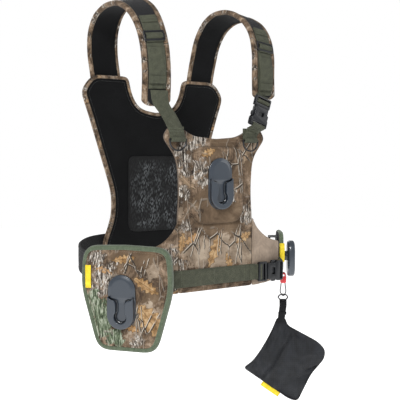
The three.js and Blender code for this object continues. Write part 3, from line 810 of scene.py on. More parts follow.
def panel_layout(loop, insets, spacing):
    """A panel's flat points and triangles, and the points along its border."""
    rings = [inset(loop, d) if d else loop for d in insets]
    low, high = loop.min(0), loop.max(0)
    xs = np.arange(low[0], high[0], spacing)
    ys = np.arange(low[1], high[1], spacing * 0.866)
    grid = np.array([(x + (j % 2) * spacing / 2, y) for j, y in enumerate(ys) for x in xs])
    grid = grid[inside(loop, grid)]
    away = distance_to(loop, grid)
    keep = away > insets[-1] + 0.55 * spacing
    for d in insets:
        keep &= np.abs(away - d) > 0.4 * spacing
    flat = np.vstack(rings + [grid[keep]])
    count = len(loop)
    edges = [(i, (i + 1) % count) for i in range(count)]
    made = geometry.delaunay_2d_cdt([Vector(p) for p in flat], edges, [], 1, 1e-7)
    now = {old: new for new, olds in enumerate(made[3]) for old in olds}
    return np.array([tuple(p) for p in made[0]]), made[2], [now[i] for i in range(count)]


def panel(name, plane, loop, back, front, looks, body, crown=2.0, reach=22.0, edge=4.0,
          spacing=4.0, grooves=(), both=False, seed=1.0, uneven=0.35, relief=None):
    """A padded panel: rounded edges, a crowned face, and sewn grooves at distances from its edge.

    back, front and the lengths are in millimetres; both crowns the back too. relief(flat) adds
    its own height to the face.
    """
    back, front, crown, reach, edge, spacing = (
        value * MM for value in (back, front, crown, reach, edge, spacing)
    )
    insets = sorted({0.0, 0.1 * edge, 0.35 * edge, 0.7 * edge, edge}
                    | {g * MM + off for g, _ in grooves for off in (-0.0012, 0.0, 0.0012)})
    flat, triangles, border = panel_layout(loop, insets, spacing)
    away = distance_to(loop, flat)
    away[border] = 0.0
    near = np.clip(edge - away, 0, edge)
    rounding = edge - np.sqrt(np.maximum(edge ** 2 - near ** 2, 0))
    swell = crown * (1 - np.exp(-((away / reach) ** 2))) - rounding
    wobble = bumpy(flat, 45, uneven * MM, seed) * np.clip(away / (2 * edge), 0, 1)
    sewn = sum(
        (-depth * MM * np.exp(-(((away - g * MM) / 0.0016) ** 2)) for g, depth in grooves),
        np.zeros(len(flat)),
    )
    extra = relief(flat) if relief else 0.0
    top = plane.world(flat, front + swell + wobble + sewn + extra)
    bottom_height = back - (swell + wobble + sewn) if both else np.full(len(flat), back)
    bottom = plane.world(flat, bottom_height)
    size = len(flat)
    faces = [tuple(t) for t in triangles] + [tuple(size + i for i in t[::-1]) for t in triangles]
    picks = [0] * len(triangles) + [len(looks) - 1] * len(triangles)
    for a, b in zip(border, border[1:] + border[:1]):
        faces.append((a, b, b + size, a + size))
        picks.append(0)
    uv = np.vstack([flat, flat + 0.5])
    return make(name, np.vstack([top, bottom]), faces, looks, body, uv, picks)


def binding(name, plane, loop, width, back, front, look, body, bulge=0.8):
    """Tape folded over an edge: it lies on both faces and wraps round the outline."""
    middle = (back + front) / 2
    section = [
        (width, front - 0.2), (width - 0.6, front + bulge * 0.6), (width * 0.5, front + bulge),
        (1.2, front + bulge * 0.5), (0.0, front - 1.2), (-bulge, middle), (0.0, back + 1.2),
        (1.2, back - bulge * 0.5), (width * 0.5, back - bulge), (width - 0.6, back - bulge * 0.6),
        (width, back + 0.2),
    ]
    rings = [plane.world(inset(loop, d * MM), h * MM) for d, h in section]
    run = np.linalg.norm(np.roll(loop, -1, 0) - loop, axis=1)
    along = np.concatenate([[0], np.cumsum(run)[:-1]])
    count = len(loop)
    verts = np.vstack(rings)
    uv = np.vstack([np.stack([along, np.full(count, 0.002 * k)], 1) for k in range(len(section))])
    faces = []
    for k in range(len(section)):
        after = (k + 1) % len(section)
        for i in range(count):
            j = (i + 1) % count
            faces.append((k * count + i, k * count + j, after * count + j, after * count + i))
    return make(name, verts, faces, [look], body, uv)


def stitches(name, path, up, look, body, pitch=3.4, length=2.5, radius=0.42, closed=True):
    """A row of raised stitches along a line of points."""
    path = np.asarray(path, float)
    ups = np.broadcast_to(np.asarray(up, float), path.shape)
    both = resampled(np.hstack([path, ups]), pitch * MM, closed)
    spots, ups = both[:, :3], both[:, 3:]
    if closed:
        along = np.roll(spots, -1, 0) - np.roll(spots, 1, 0)
    else:
        along = np.gradient(spots, axis=0)
    along /= np.linalg.norm(along, axis=1)[:, None]
    ups = ups / np.linalg.norm(ups, axis=1)[:, None]
    sides = np.cross(along, ups)
    verts, faces = [], []
    for spot, t, n, s in zip(spots, along, ups, sides):
        first = len(verts)
        r, half = radius * MM, length * MM / 2
        verts.append(spot - t * half - n * r * 0.6)
        for shift in (-0.55, 0.55):
            for a, b in ((1, 0), (0, 1), (-1, 0), (0, -1)):
                verts.append(spot + t * half * shift + s * r * a + n * r * b)
        verts.append(spot + t * half - n * r * 0.6)
        for k in range(4):
            j = (k + 1) % 4
            faces.append((first, first + 1 + j, first + 1 + k))
            faces.append((first + 1 + k, first + 1 + j, first + 5 + j, first + 5 + k))
            faces.append((first + 5 + k, first + 5 + j, first + 9))
    return make(name, verts, faces, [look], body)


def bar_tack(name, row, up):
    """A dense row of short stitches across a webbing."""
    stitches(name, row, up, OLIVE_THREAD, ROOT, pitch=1.7, length=1.5, radius=0.35, closed=False)


def tack_across(name, band, v, height):
    """A bar tack across a band, at a height over its middle line."""
    middle, across, _, normal = band.at(v)
    row = [(middle + across * a + normal * height) * MM for a in np.linspace(-16, 16, 20)]
    bar_tack(name, row, -normal)


def centripetal(points, count=400):
    """A smooth curve through points, as evenly spaced points."""
    p = np.asarray(points, float)
    p = np.vstack([2 * p[0] - p[1], p, 2 * p[-1] - p[-2]])
    dense = []
    for a, b, c, d in zip(p, p[1:], p[2:], p[3:]):
        t0, t1, t2 = (np.linalg.norm(v) ** 0.5 for v in (b - a, c - b, d - c))
        m1 = ((b - a) / t0 - (c - a) / (t0 + t1) + (c - b) / t1) * t1
        m2 = ((c - b) / t1 - (d - b) / (t1 + t2) + (d - c) / t2) * t1
        for s in np.linspace(0, 1, 40, endpoint=False):
            q = (2 * s ** 3 - 3 * s ** 2 + 1) * b + (s ** 3 - 2 * s ** 2 + s) * m1
            dense.append(q + (3 * s ** 2 - 2 * s ** 3) * c + (s ** 3 - s ** 2) * m2)
    dense.append(p[-2])
    dense = np.array(dense)
    run = np.concatenate([[0], np.cumsum(np.linalg.norm(np.diff(dense, axis=0), axis=1))])
    want = np.linspace(0, run[-1], count)
    return np.stack([np.interp(want, run, dense[:, k]) for k in range(3)], axis=1)


class Band:
    """A long strip of cloth: a middle line, the direction across it, and its width. Millimetres."""

    def __init__(self, points, across, width):
        self.line = centripetal(points)
        self.across = across
        self.width = width
        self.length = np.linalg.norm(np.diff(self.line, axis=0), axis=1).sum()

    def middle(self, v):
        at = v * (len(self.line) - 1)
        return np.array([np.interp(at, np.arange(len(self.line)), self.line[:, k]) for k in range(3)])

    def at(self, v):
        along = self.middle(min(v + 0.004, 1)) - self.middle(max(v - 0.004, 0))
        along /= np.linalg.norm(along)
        side = np.asarray(self.across(v), float)
        side /= np.linalg.norm(side)
        normal = np.cross(side, along)
        return self.middle(v), side, along, normal / np.linalg.norm(normal)

    def where_height(self, z):
        low, high = 0.5, 1.0
        for _ in range(30):
            half = (low + high) / 2
            low, high = (half, high) if self.middle(half)[2] > z else (low, half)
        return low


def sweep(name, band, v0, v1, count, section, looks, body, picks=None, bend=None, dense_end=False):
    """Carries a closed section(v) of (across, height) points in millimetres along a band."""
    verts, uv = [], []
    share = np.linspace(0, 1, count)
    for v in v0 + (v1 - v0) * (share * (1.6 - 0.6 * share) if dense_end else share):
        middle, side, _, normal = band.at(v)
        lift = bend(v) if bend else 0.0
        for a, b in section(v):
            verts.append((middle + side * a + normal * (b + lift)) * MM)
            uv.append((a * MM, v * band.length * MM))
    size = len(section(v0))
    faces, chosen = [], []
    for i in range(count - 1):
        for k in range(size):
            j = (k + 1) % size
            faces.append((i * size + k, i * size + j, (i + 1) * size + j, (i + 1) * size + k))
            chosen.append(picks[k] if picks else 0)
    for first in (0, (count - 1) * size):
        faces.append(tuple(range(first, first + size)))
        chosen.append(0)
    return make(name, verts, faces, looks, body, uv, chosen)


def tape(width, thick, height):
    """A webbing's section: flat, with its two selvedges rounded."""
    w, t, e = width / 2, thick / 2, thick * 0.35
    fixed = [
        (-w, height - t + e), (-w + e, height - t), (-w * 0.5, height - t), (0, height - t),
        (w * 0.5, height - t), (w - e, height - t), (w, height - t + e), (w, height + t - e),
        (w - e, height + t), (0, height + t), (-w + e, height + t), (-w, height + t - e),
    ]
    return lambda v: fixed


def webbing(name, band, v0, v1, count, *nodes, body=ROOT, thick=1.9, height=0.0, width=WEBBING_WIDTH,
            look=OLIVE, slot="olive_webbing", bend=None):
    """Webbing that lies on a band from v0 to v1, shown instead of CAD nodes."""
    piece = sweep(name, band, v0, v1, count, tape(width, thick, height), [look], body, bend=bend)
    stands_in(piece, slot, *nodes)


def ribbon(name, points, across, body, *nodes, count=40, **settings):
    """Webbing along points; across is the direction of its width."""
    webbing(name, Band(points, lambda v: across, WEBBING_WIDTH), 0, 1, count, *nodes, body=body, **settings)


def grid_faces(columns, rows):
    """Faces of a closed slab of two grids, front after back."""
    def at(side, i, j):
        return side * (columns + 1) * (rows + 1) + i * (columns + 1) + j

    faces = []
    for i in range(rows):
        for j in range(columns):
            for s in (0, 1):
                faces.append((at(s, i, j), at(s, i, j + 1), at(s, i + 1, j + 1), at(s, i + 1, j)))
    for i in range(rows):
        for j in (0, columns):
            faces.append((at(0, i, j), at(1, i, j), at(1, i + 1, j), at(0, i + 1, j)))
    for j in range(columns):
        for i in (0, rows):
            faces.append((at(0, i, j), at(1, i, j), at(1, i, j + 1), at(0, i, j + 1)))
    return faces


def add_tag(node, plane, columns=8, rows=14, curl=0.6):
    """A blank woven tag: a thin curled strip in its CAD solid's place."""
    corners = plane.local([v.co for v in NODES[node].data.vertices])
    low, high = corners.min(0), corners.max(0)
    verts, uv = [], []
    for level, share in ((low[2], 0.6), (high[2], 1.0)):
        for t in np.linspace(0, 1, rows + 1):
            for s in np.linspace(0, 1, columns + 1):
                flat = low[:2] + np.array([s, t]) * (high - low)[:2]
                rise = level + share * curl * MM * math.sin(math.pi * t)
                verts.append(plane.world([flat], rise)[0])
                uv.append(flat)
    piece = make(node + "_cloth", verts, grid_faces(columns, rows), [YELLOW], BODY_OF[node], uv)
    stands_in(piece, "yellow_tag", node)


# ---- the tether cord ----
def add_cord():
    plane = Plane(POUCH_AZIMUTH, *TETHER_AT)
    local = centripetal(CORD_ROUTE, 30)
    points = plane.world(local[:, :2] * MM, local[:, 2] * MM)
    data = bpy.data.curves.new("tether_loop", "CURVE")
    data.dimensions = "3D"
    spline = data.splines.new("POLY")
    spline.points.add(len(points) - 1)
    for target, point in zip(spline.points, points):
        target.co = (*point, 1.0)
    data.bevel_depth = CORD_DIAMETER * MM / 2
    data.bevel_resolution = 4
    data.use_fill_caps = True
    data.materials.append(CORD)
    loop = placed("tether_loop", data)
    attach(loop, BODY_OF["tether_cord"])
    stands_in(loop, "black_nylon", "tether_cord")


# ---- camera docks ----
def add_dock_plate(node, body, plane):
    """The dock's back plate: a smooth dome at the top that falls into the keyhole slot below."""
    low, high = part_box(node)
    tall = (high.z - low.z) / MM
    back, front = heights_of(node, plane)
    radius = DOCK_WIDTH / 2
    top = tall / 2 - radius
    loop = [(radius * math.cos(a), top + radius * math.sin(a)) for a in np.linspace(0, math.pi, 40)]
    loop += [(radius * math.cos(a), -top + radius * math.sin(a))
             for a in np.linspace(math.pi, 2 * math.pi, 40)]
    loop = smoothed(resampled(np.array(loop) * MM, 2 * MM), 2)
    rise = front - back - DOCK_BASE
    rail = loops_of(node.replace("plate", "rail"), plane)[0]

    def dome(flat):
        x, y = flat[:, 0] / MM, flat[:, 1] / MM
        gap = distance_to(rail, flat) / MM
        gap[inside(rail, flat)] = 0
        groove = -2.9 * np.exp(-(((gap - 1.2) / 1.25) ** 2)) * np.clip((7 - y) / 3, 0, 1)
        across = np.clip(1 - (x / (radius - 2)) ** 2, 0, 1) ** 0.5
        fall = np.clip((y + 1.0) / 11, 0, 1)
        round_top = np.clip((radius - 1.5 - np.hypot(x, np.maximum(y - top, 0))) / 9, 0, 1)
        smooth = fall * fall * (3 - 2 * fall) * np.sin(round_top * math.pi / 2)
        return ((rise + 0.6 * across) * smooth + groove * np.clip(gap * 4, 0, 1)) * MM

    plate = panel(node + "_moulded", plane, loop, back, back + DOCK_BASE, [DOCK_PLASTIC], body,
                  crown=0.0, edge=1.4, spacing=1.25, uneven=0.0, relief=dome)
    stands_in(plate, "dock_plastic", node)


def add_dock_rail(node, body, plane):
    """The raised U round the keyhole slot."""
    back, front = heights_of(node, plane)
    loop = smoothed(anticlockwise(resampled(loops_of(node, plane)[0], 1.2 * MM)), 2)
    rail = panel(node + "_moulded", plane, loop, back - 0.2, front, [DOCK_PLASTIC], body,
                 crown=0.0, edge=1.5, spacing=2.2, uneven=0.0)
    stands_in(rail, "dock_plastic", node)


# ---- chest panel ----
CHEST = Plane(0, 0, CHEST_Y)
CHEST_LOOP = soft_outline(loops_of("chest_shell", CHEST)[0])
CROSS_SEAM = -512


def chest_relief(flat):
    """The lower front is one layer of cloth over thinner foam, below a sewn line."""
    line = -0.0011 * np.exp(-(((flat[:, 1] - CROSS_SEAM * MM) / 0.0018) ** 2))
    sag = 0.0016 * np.exp(-(((flat[:, 1] - (CROSS_SEAM + 7) * MM) / 0.006) ** 2))
    return line + sag + bumpy(flat, 17, 0.0016, 4.4) * np.clip(distance_to(CHEST_LOOP, flat) / 0.02, 0, 1)


def add_chest():
    shell = CHEST_LOOP
    front = panel("chest_face", CHEST, shell, -10, 0.0, [CAMO_CHEST], ROOT, crown=0.0, edge=4.5,
                  grooves=[(9.0, 0.5)], uneven=0.25, seed=2.0, relief=chest_relief)
    stands_in(front, "camo", "chest_shell", "chest_foam")
    lining = panel("chest_lining_cloth", CHEST, shell, -12.3, -10.2, [LINING], ROOT, crown=0.0, edge=1.0,
                   spacing=8.0)
    stands_in(lining, "lining", "chest_lining")
    stitches("chest_edge_stitching", CHEST.world(inset(shell, 9 * MM), -0.3 * MM), CHEST.out,
             TAN_THREAD, ROOT)
    edge = [(x, CROSS_SEAM) for x in np.linspace(-98, 98, 40)]
    stitches("chest_cross_stitching", CHEST.world(np.array(edge) * MM, -0.6 * MM), CHEST.out,
             TAN_THREAD, ROOT, closed=False)
    boss = soft_outline(inset(anticlockwise(loops_of("chest_boss_pad", CHEST)[0]), -5 * MM), rounds=10)
    pad = panel("chest_boss", CHEST, boss, 0.3, 8.6, [CAMO_BOSS], ROOT, crown=2.2, reach=16, edge=7.5,
                spacing=3.5, grooves=[(4.0, 0.3)], uneven=0.2, seed=5.0)
    stands_in(pad, "camo", "chest_boss_pad")
    stitches("chest_boss_stitching", CHEST.world(inset(boss, -1.4 * MM), 0.2 * MM), CHEST.out,
             TAN_THREAD, ROOT, length=2.0)
    add_dock_plate("chest_dock_plate", ROOT, Plane(0, 0, CHEST_Y, middle_of("chest_dock_plate").z))
    add_dock_rail("chest_dock_rail", ROOT, Plane(0, 0, CHEST_Y))
    hard("chest_stiffener", BLACK_PLASTIC, 1.0)


def add_wing(side):
    node = "chest_wing_" + side
    mesh = NODES[node].data.copy()
    mesh.materials.clear()
    mesh.materials.append(CAMO_TAN if side == "left" else CAMO_BARK)
    wing = placed(node + "_cloth", mesh)
    remesh = wing.modifiers.new("remesh", "REMESH")
    remesh.mode = "VOXEL"
    remesh.voxel_size = 2.2 * MM
    relax = wing.modifiers.new("relax", "SMOOTH")
    relax.factor = 0.5
    relax.iterations = 8
    applied(wing)
    mesh = wing.data
    coords = np.empty(len(mesh.vertices) * 3)
    mesh.vertices.foreach_get("co", coords)
    coords = coords.reshape(-1, 3)
    layer = mesh.uv_layers.new(name="metres")
    corner = np.empty(len(mesh.loops), np.int32)
    mesh.loops.foreach_get("vertex_index", corner)
    layer.data.foreach_set("uv", coords[corner][:, [0, 2]].astype(np.float32).ravel())
    mesh.polygons.foreach_set("use_smooth", np.ones(len(mesh.polygons), bool))
    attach(wing, ROOT)
    stands_in(wing, "camo", node)
    sign = 1 if side == "left" else -1
    seam = np.array([(sign * 102.5, CHEST_Y, z) for z in np.linspace(-494, -642, 30)]) * MM
    stitches(node + "_seam_stitching", seam, (0, -1, 0), TAN_THREAD, ROOT, closed=False)


# ---- back panel ----
def add_back():
    inner = Plane(0, 0, BACK_INNER_Y)
    loop = soft_outline(loops_of("back_lining", inner)[0])
    lining = panel("back_lining_cloth", inner, loop, -2.1, 0.0, [LINING], ROOT, crown=0.0, edge=1.0,
                   grooves=[(14.0, 0.5)], uneven=0.4, spacing=5.0, seed=8.0)
    stands_in(lining, "lining", "back_lining")
    outer = Plane(180, 0, BACK_OUTER_Y)
    loop_out = soft_outline(loops_of("back_shell", outer)[0])
    shell = panel("back_face", outer, loop_out, -8.6, 0.0, [CAMO], ROOT, crown=0.6, edge=4.0,
                  grooves=[(14.0, 0.6)], uneven=0.4, seed=11.0)
    stands_in(shell, "camo", "back_shell", "back_foam")
    binding("back_binding", inner, loop, 8.0, -11.0, 0.2, CAMO_EDGES, ROOT, bulge=0.9)
    stitches("back_binding_stitching", inner.world(inset(loop, 6.6 * MM), 1.0 * MM), inner.out,
             TAN_THREAD, ROOT)
    stitches("back_inner_stitching", inner.world(inset(loop, 14 * MM), 0.0), inner.out,
             BLACK_THREAD, ROOT)
    stitches("back_outer_stitching", outer.world(inset(loop_out, 14 * MM), 0.3 * MM), outer.out,
             TAN_THREAD, ROOT)
    mesh_loop = soft_outline(loops_of("back_mesh", inner)[0])
    spacer = panel("back_spacer_mesh", inner, mesh_loop, *heights_of("back_mesh", inner), [SPACER], ROOT,
                   crown=0.5, edge=1.4, spacing=4.0, uneven=0.3, seed=3.0)
    stands_in(spacer, "lining", "back_mesh")


# ---- shoulder straps ----
def ease(v, low, high):
    s = min(max((v - low) / (high - low), 0), 1)
    return s * s * (3 - 2 * s)


def strap_band(side, sign):
    line = STRAP_LINE + [(154, -166, STRAP_TIP_Z[side])]
    points = [(sign * x + (LEAN[side] * max(0, -40 - z) / 176 if y < 0 else REAR_SHIFT), y, z)
              for x, y, z in line]

    def across(v):
        over = math.sin(math.pi * v) ** 2
        return (1, sign * TURN_OUT[side] * ease(v, 0.4, 0.75), -sign * SHOULDER_SLOPE * over)

    def width(v):
        return STRAP_REAR + (STRAP_FRONT - STRAP_REAR) * ease(v, 0.4, 0.75)

    return Band(points, across, width)


def strap_section(band):
    def section(v):
        ends = min(ease(v, -0.004, 0.012), ease(1 - v, -0.004, 0.02))
        to_tip = min((1 - v) * band.length, TIP_ROUND)
        w = band.width(v) / 2 * (0.86 + 0.14 * ends)
        w -= TIP_ROUND - math.sqrt(TIP_ROUND ** 2 - (TIP_ROUND - to_tip) ** 2)
        t = 4.3 * (0.45 + 0.55 * ends)
        outer = [(-w + 0.6, -0.62), (-w + 3, -1.05), (-w + 8, -1.14), (-w + 11.0, -1.0),
                 (-w + 11.8, -0.90), (-w * 0.5, -0.96), (0, -0.97)]
        half = outer + [(-a, b) for a, b in outer[-2::-1]]
        inner = [(w - 0.6, 0.8), (w - 3.0, 1.25), (w - 7.5, 1.4), (w - 8.6, 1.28), (w * 0.5, 1.42),
                 (0, 1.46)]
        back = inner + [(-a, b) for a, b in inner[-2::-1]]
        return [(a, b * t) for a, b in [(-w, 0.1)] + half + [(w, 0.1)] + back]

    return section


# camo on the two edge bands, charcoal outside and lining inside between them
STRAP_PICKS = [0] * 5 + [1] * 4 + [0] * 9 + [2] * 4 + [0] * 4


def add_strap(side, sign):
    band = strap_band(side, sign)
    pad = sweep("shoulder_strap_" + side, band, 0, 1, 170, strap_section(band),
                [CAMO_EDGES, CHARCOAL, LINING], ROOT, STRAP_PICKS, dense_end=True)
    stands_in(pad, "camo", "shoulder_pad_" + side, "shoulder_lining_" + side)
    for hand in (-1, 1):
        for label, drop, height in (("outer", 10.0, -5.0), ("inner", 7.0, 6.2)):
            path, ups = [], []
            for v in np.linspace(0.03, 0.955, 150):
                middle, across, _, normal = band.at(v)
                reach = hand * (band.width(v) / 2 - drop)
                path.append((middle + across * reach + normal * height) * MM)
                ups.append(normal * (1 if height > 0 else -1))
            ends = "near" if hand < 0 else "far"
            stitches(f"strap_{label}_stitching_{ends}_{side}", path, ups, TAN_THREAD, ROOT, closed=False)
    start, finish = band.where_height(-50), band.where_height(-207)
    webbing("strap_ribbon_" + side, band, start, finish, 60, "strap_webbing_" + side, height=-5.35)
    webbing("strap_ribbon_top_" + side, band, start, band.where_height(-66), 14, thick=1.7, height=-7.2,
            width=WEBBING_WIDTH - 0.6)
    top, end = band.where_height(-119), band.where_height(-196)
    lift = 5.5 if side == "left" else 2.0

    def curl(v):
        share = (v - top) / (end - top)
        return -lift * math.sin(math.pi * share) ** 2 - 0.5 * share

    webbing("webbing_flap_" + side, band, top, end, 40, "webbing_tail_" + side, thick=1.8, height=-7.7,
            bend=curl)
    webbing("webbing_flap_hem_" + side, band, band.where_height(-180), end, 10, thick=1.6, height=-9.6,
            width=WEBBING_WIDTH - 0.8, bend=curl)
    bars = [(-53, -8.2), (-57, -8.2), (-64, -8.2), (-182, -10.6), (-188, -10.7), (-193, -10.8)]
    for number, (z, height) in enumerate(bars):
        tack_across(f"bar_tack_{number}_{side}", band, band.where_height(z), height)
    add_glide(side, band)


def add_glide(side, band):
    """The three-bar slide, and the webbing that rises over its middle bar."""
    hard("tri_glide_" + side, BLACK_PLASTIC, 0.8, 3)
    middle, _, along, normal = band.at(band.where_height(-96))
    out = -normal
    right = np.cross(-along, out)
    right /= np.linalg.norm(right)
    up = np.cross(out, right)
    base = middle + out * 8.0
    path = [(-14, 0.5), (-10, 0.5), (-6.6, 1.3), (-4, 3.8), (0, 5.4), (4, 3.8), (6.6, 1.3), (10, 0.5),
            (14, 0.5)]
    points = [base + up * y + out * z for y, z in path]
    ribbon("glide_webbing_" + side, points, right, "glide_" + side, width=37, thick=1.7, count=36)


# ---- chest rings and the webbing that reaches them ----
def add_rings():
    for side in ("right", "left"):
        hard("chest_ring_" + side, STEEL, 1.3, 3)
        x = RING_X[side]
        path = [(x, -171.3, -284), (x, -171.3, -296), (x, -171.4, -306), (x, -172.4, -313.6),
                (x, -176.4, -316.4), (x, -180.2, -313.8), (x, -180.4, -309.8), (x, -178.2, -306.0)]
        ribbon("ring_loop_" + side, path, (1, 0, 0), ROOT, "ring_tab_" + side, width=36, thick=1.5,
               count=46)
        row = np.array([(x + a, -172.3, -290) for a in np.linspace(-15, 15, 18)]) * MM
        bar_tack("ring_tack_" + side, row, (0, -1, 0))


LOWER_WEBBING = {
    "right": [(-151, -174.2, -209), (-147, -175.2, -236), (-128, -176.4, -262), (-111, -175.5, -290),
              (RING_X["right"], -175.2, -304), (RING_X["right"], -176.6, -309)],
    "left": [(98, -177.2, -281), (93, -175.4, -294), (RING_X["left"], -175.2, -304),
             (RING_X["left"], -176.6, -309)],
}


def add_lower_webbing():
    for side, sign in (("right", -1), ("left", 1)):
        def across(v, turn=sign * TURN_OUT[side]):
            return (1, turn * (1 - v) ** 2, 0)

        band = Band(LOWER_WEBBING[side], across, WEBBING_WIDTH)
        webbing("lower_ribbon_" + side, band, 0, 1, 40, "lower_webbing_" + side, thick=2.0)
        for number, v in enumerate((0.80, 0.86) if side == "right" else (0.3, 0.45)):
            tack_across(f"lower_tack_{number}_{side}", band, v, -1.0)


# ---- buckles ----
def add_buckles():
    for name in ("shoulder_buckle", "waist_buckle"):
        for part in ("socket", "plug", "prong_a", "prong_b"):
            hard(f"{name}_{part}", BLACK_PLASTIC, 0.7 if part in ("socket", "plug") else 0.5)
    add_ladder_webbing()


def add_ladder_webbing():
    """Webbing goes through each plug's two bars, and through the shoulder socket's end slot."""
    route = [(-44, -172.6), (-33, -174.4), (-25.4, -176.6), (-21.6, -181.2), (-17.5, -183.4),
             (-13.4, -181.6), (-11.4, -177.4)]
    waist = [(WAIST_BUCKLE_X + x, y, BAND_Z) for x, y in route]
    plane = Plane(*SHOULDER_BUCKLE[:4], lean=SHOULDER_BUCKLE[4])
    upper = [(30, 0.6), (24, 0.6), (19.5, 2.5), (17.6, 7), (15.5, 11.2), (13.2, 12.3), (11, 11.2),
             (9, 7), (8, 3)]
    lower = [(-39.5, 2), (-39.5, 8), (-41, 13.8), (-44.5, 14.6), (-48, 12.4), (-50, 6), (-53, 0),
             (-57, -3.6)]
    upper, lower = (on_plane(plane, [0] * len(path), *zip(*path)) for path in (upper, lower))
    for label, path, body, across in (
        ("waist", waist, "waist_plug", (0, 0, 1)),
        ("shoulder", upper, "shoulder_plug", plane.right),
        ("socket", lower, ROOT, plane.right),
    ):
        ribbon("ladder_webbing_" + label, path, across, body, width=36, thick=1.5, count=36)


# ---- belt and waist webbing ----
def belt_section(v):
    w, t = BELT_WIDTH / 2, 2.0
    ends = min(ease(v, -0.01, 0.02), ease(1 - v, -0.01, 0.02))
    t *= 0.5 + 0.5 * ends
    outer = [(-w + 0.5, -0.75), (-w + 3, -1.05), (-w + 6, -0.9), (-w * 0.4, -1.05), (0, -1.1)]
    half = outer + [(-a, b) for a, b in outer[-2::-1]]
    inner = [(-a, -b) for a, b in half]
    return [(a, b * t) for a, b in [(-w, 0)] + half + [(w, 0)] + inner]


def add_belt(side, sign, first):
    points = [(sign * x, y, z) for x, y, z in BELT_LINE[first:]]
    band = Band(points, lambda v: (0, 0, 1), BELT_WIDTH)
    piece = sweep("belt_" + side, band, 0, 1, 90, belt_section, [CHARCOAL], ROOT)
    stands_in(piece, "lining", "hip_belt_" + side)
    for hand in (-1, 1):
        path, ups = [], []
        for v in np.linspace(0.02, 0.98, 110):
            middle, across, _, normal = band.at(v)
            path.append((middle + across * hand * (BELT_WIDTH / 2 - 6) - normal * sign * 1.9) * MM)
            ups.append(-normal * sign)
        label = "low" if hand < 0 else "high"
        stitches(f"belt_stitching_{label}_{side}", path, ups, BLACK_THREAD, ROOT, closed=False)


def wing_depth(x):
    return CHEST_Y + 20 * (max(0, abs(x) - 130) / 66) ** 2


def add_waist_webbing():
    stops = (-WING_END_X + 4, -170, -150, -130, 0, WAIST_BUCKLE_X - 29)
    points = [(x, wing_depth(x), BAND_Z) for x in stops]
    band = Band(points, lambda v: (0, 0, 1), WEBBING_WIDTH)
    webbing("waist_ribbon", band, 0, 1, 90, "waist_webbing_front", height=-1.35)
    for number, v in enumerate((0.33, 0.62, 0.9)):
        tack_across(f"waist_tack_{number}", band, v, -2.4)
    path = [(WAIST_BUCKLE_X + 49, -173.5, -616), (195, -162, -614), (201.5, -147, -611),
            (206, -135.5, -608), (211.5, -126, -606)]
    ribbon("side_ribbon", path, (0, 0, 1), ROOT, "side_webbing_left", thick=1.9, count=30)


# ---- hip holster ----
def add_holster():
    plane = Plane(HOLSTER_AZIMUTH, *middle_of("holster_backplate"))
    back, front = heights_of("holster_pad", plane)
    outer = soft_outline(loops_of("holster_binding", plane)[0])
    pad = panel("holster_face", plane, inset(outer, 3 * MM), back, front - 4.5, [CAMO_GREEN, LINING],
                "holster", crown=4.0, reach=26, edge=4.5, spacing=3.5, grooves=[(9.5, 0.9)], uneven=0.5,
                seed=21.0)
    stands_in(pad, "camo", "holster_pad")
    rim = binding("holster_tape", plane, outer, 9.0, back + 1.5, front - 4.2, GREEN_TAPE, "holster", 1.4)
    stands_in(rim, "green_binding", "holster_binding")
    stitches("holster_tape_stitching", plane.world(inset(outer, 7.2 * MM), (front - 3.0) * MM), plane.out,
             GREEN_THREAD, "holster")
    stitches("holster_inner_stitching", plane.world(inset(outer, 12.5 * MM), (front - 4.4) * MM), plane.out,
             TAN_THREAD, "holster")
    hard("holster_backplate", BLACK_PLASTIC, 0.9)
    hard("holster_hanger", BLACK_PLASTIC, 0.9)
    dock = Plane(HOLSTER_AZIMUTH, *middle_of("holster_dock_plate"))
    add_dock_plate("holster_dock_plate", "holster", dock)
    add_dock_rail("holster_dock_rail", "holster", plane)
    add_tag("holster_tag", plane)


# ---- small dock pad on the other hip ----
def add_hip_pad():
    plane = Plane(HIP_AZIMUTH, *middle_of("hip_pad"))
    back, front = heights_of("hip_pad", plane)
    outer = soft_outline(loops_of("hip_binding", plane)[0])
    pad = panel("hip_face", plane, inset(outer, 2.5 * MM), back, front - 3.0, [CAMO_GREEN, LINING],
                "hip_dock_pad", crown=2.8, reach=18, edge=3.5, spacing=3.5, grooves=[(8.0, 0.6)], seed=31.0)
    stands_in(pad, "camo", "hip_pad")
    rim = binding("hip_tape", plane, outer, 8.0, back + 1.2, front - 3.0, GREEN_TAPE, "hip_dock_pad", 1.2)
    stands_in(rim, "green_binding", "hip_binding")
    stitches("hip_tape_stitching", plane.world(inset(outer, 6.4 * MM), (front - 2.0) * MM), plane.out,
             GREEN_THREAD, "hip_dock_pad")
    hard("hip_dock", DOCK_PLASTIC, 1.4, 3, 25)
    hard("hip_hanger", BLACK_PLASTIC, 0.7)
    add_tag("hip_tag", plane)


# ---- tether and pouch ----
POUCH_CORNERS = [
    (-14, -752.4, 5), (5, -752.4, 6), (11, -772, 10), (90, -815, 14), (108, -836, 12), (104, -858, 10),
    (71, -897, 14), (38, -966, 10), (16, -959, 10), (-98, -880, 7), (-76, -864, 8), (-56, -838, 22),
    (-28, -788, 26),
]
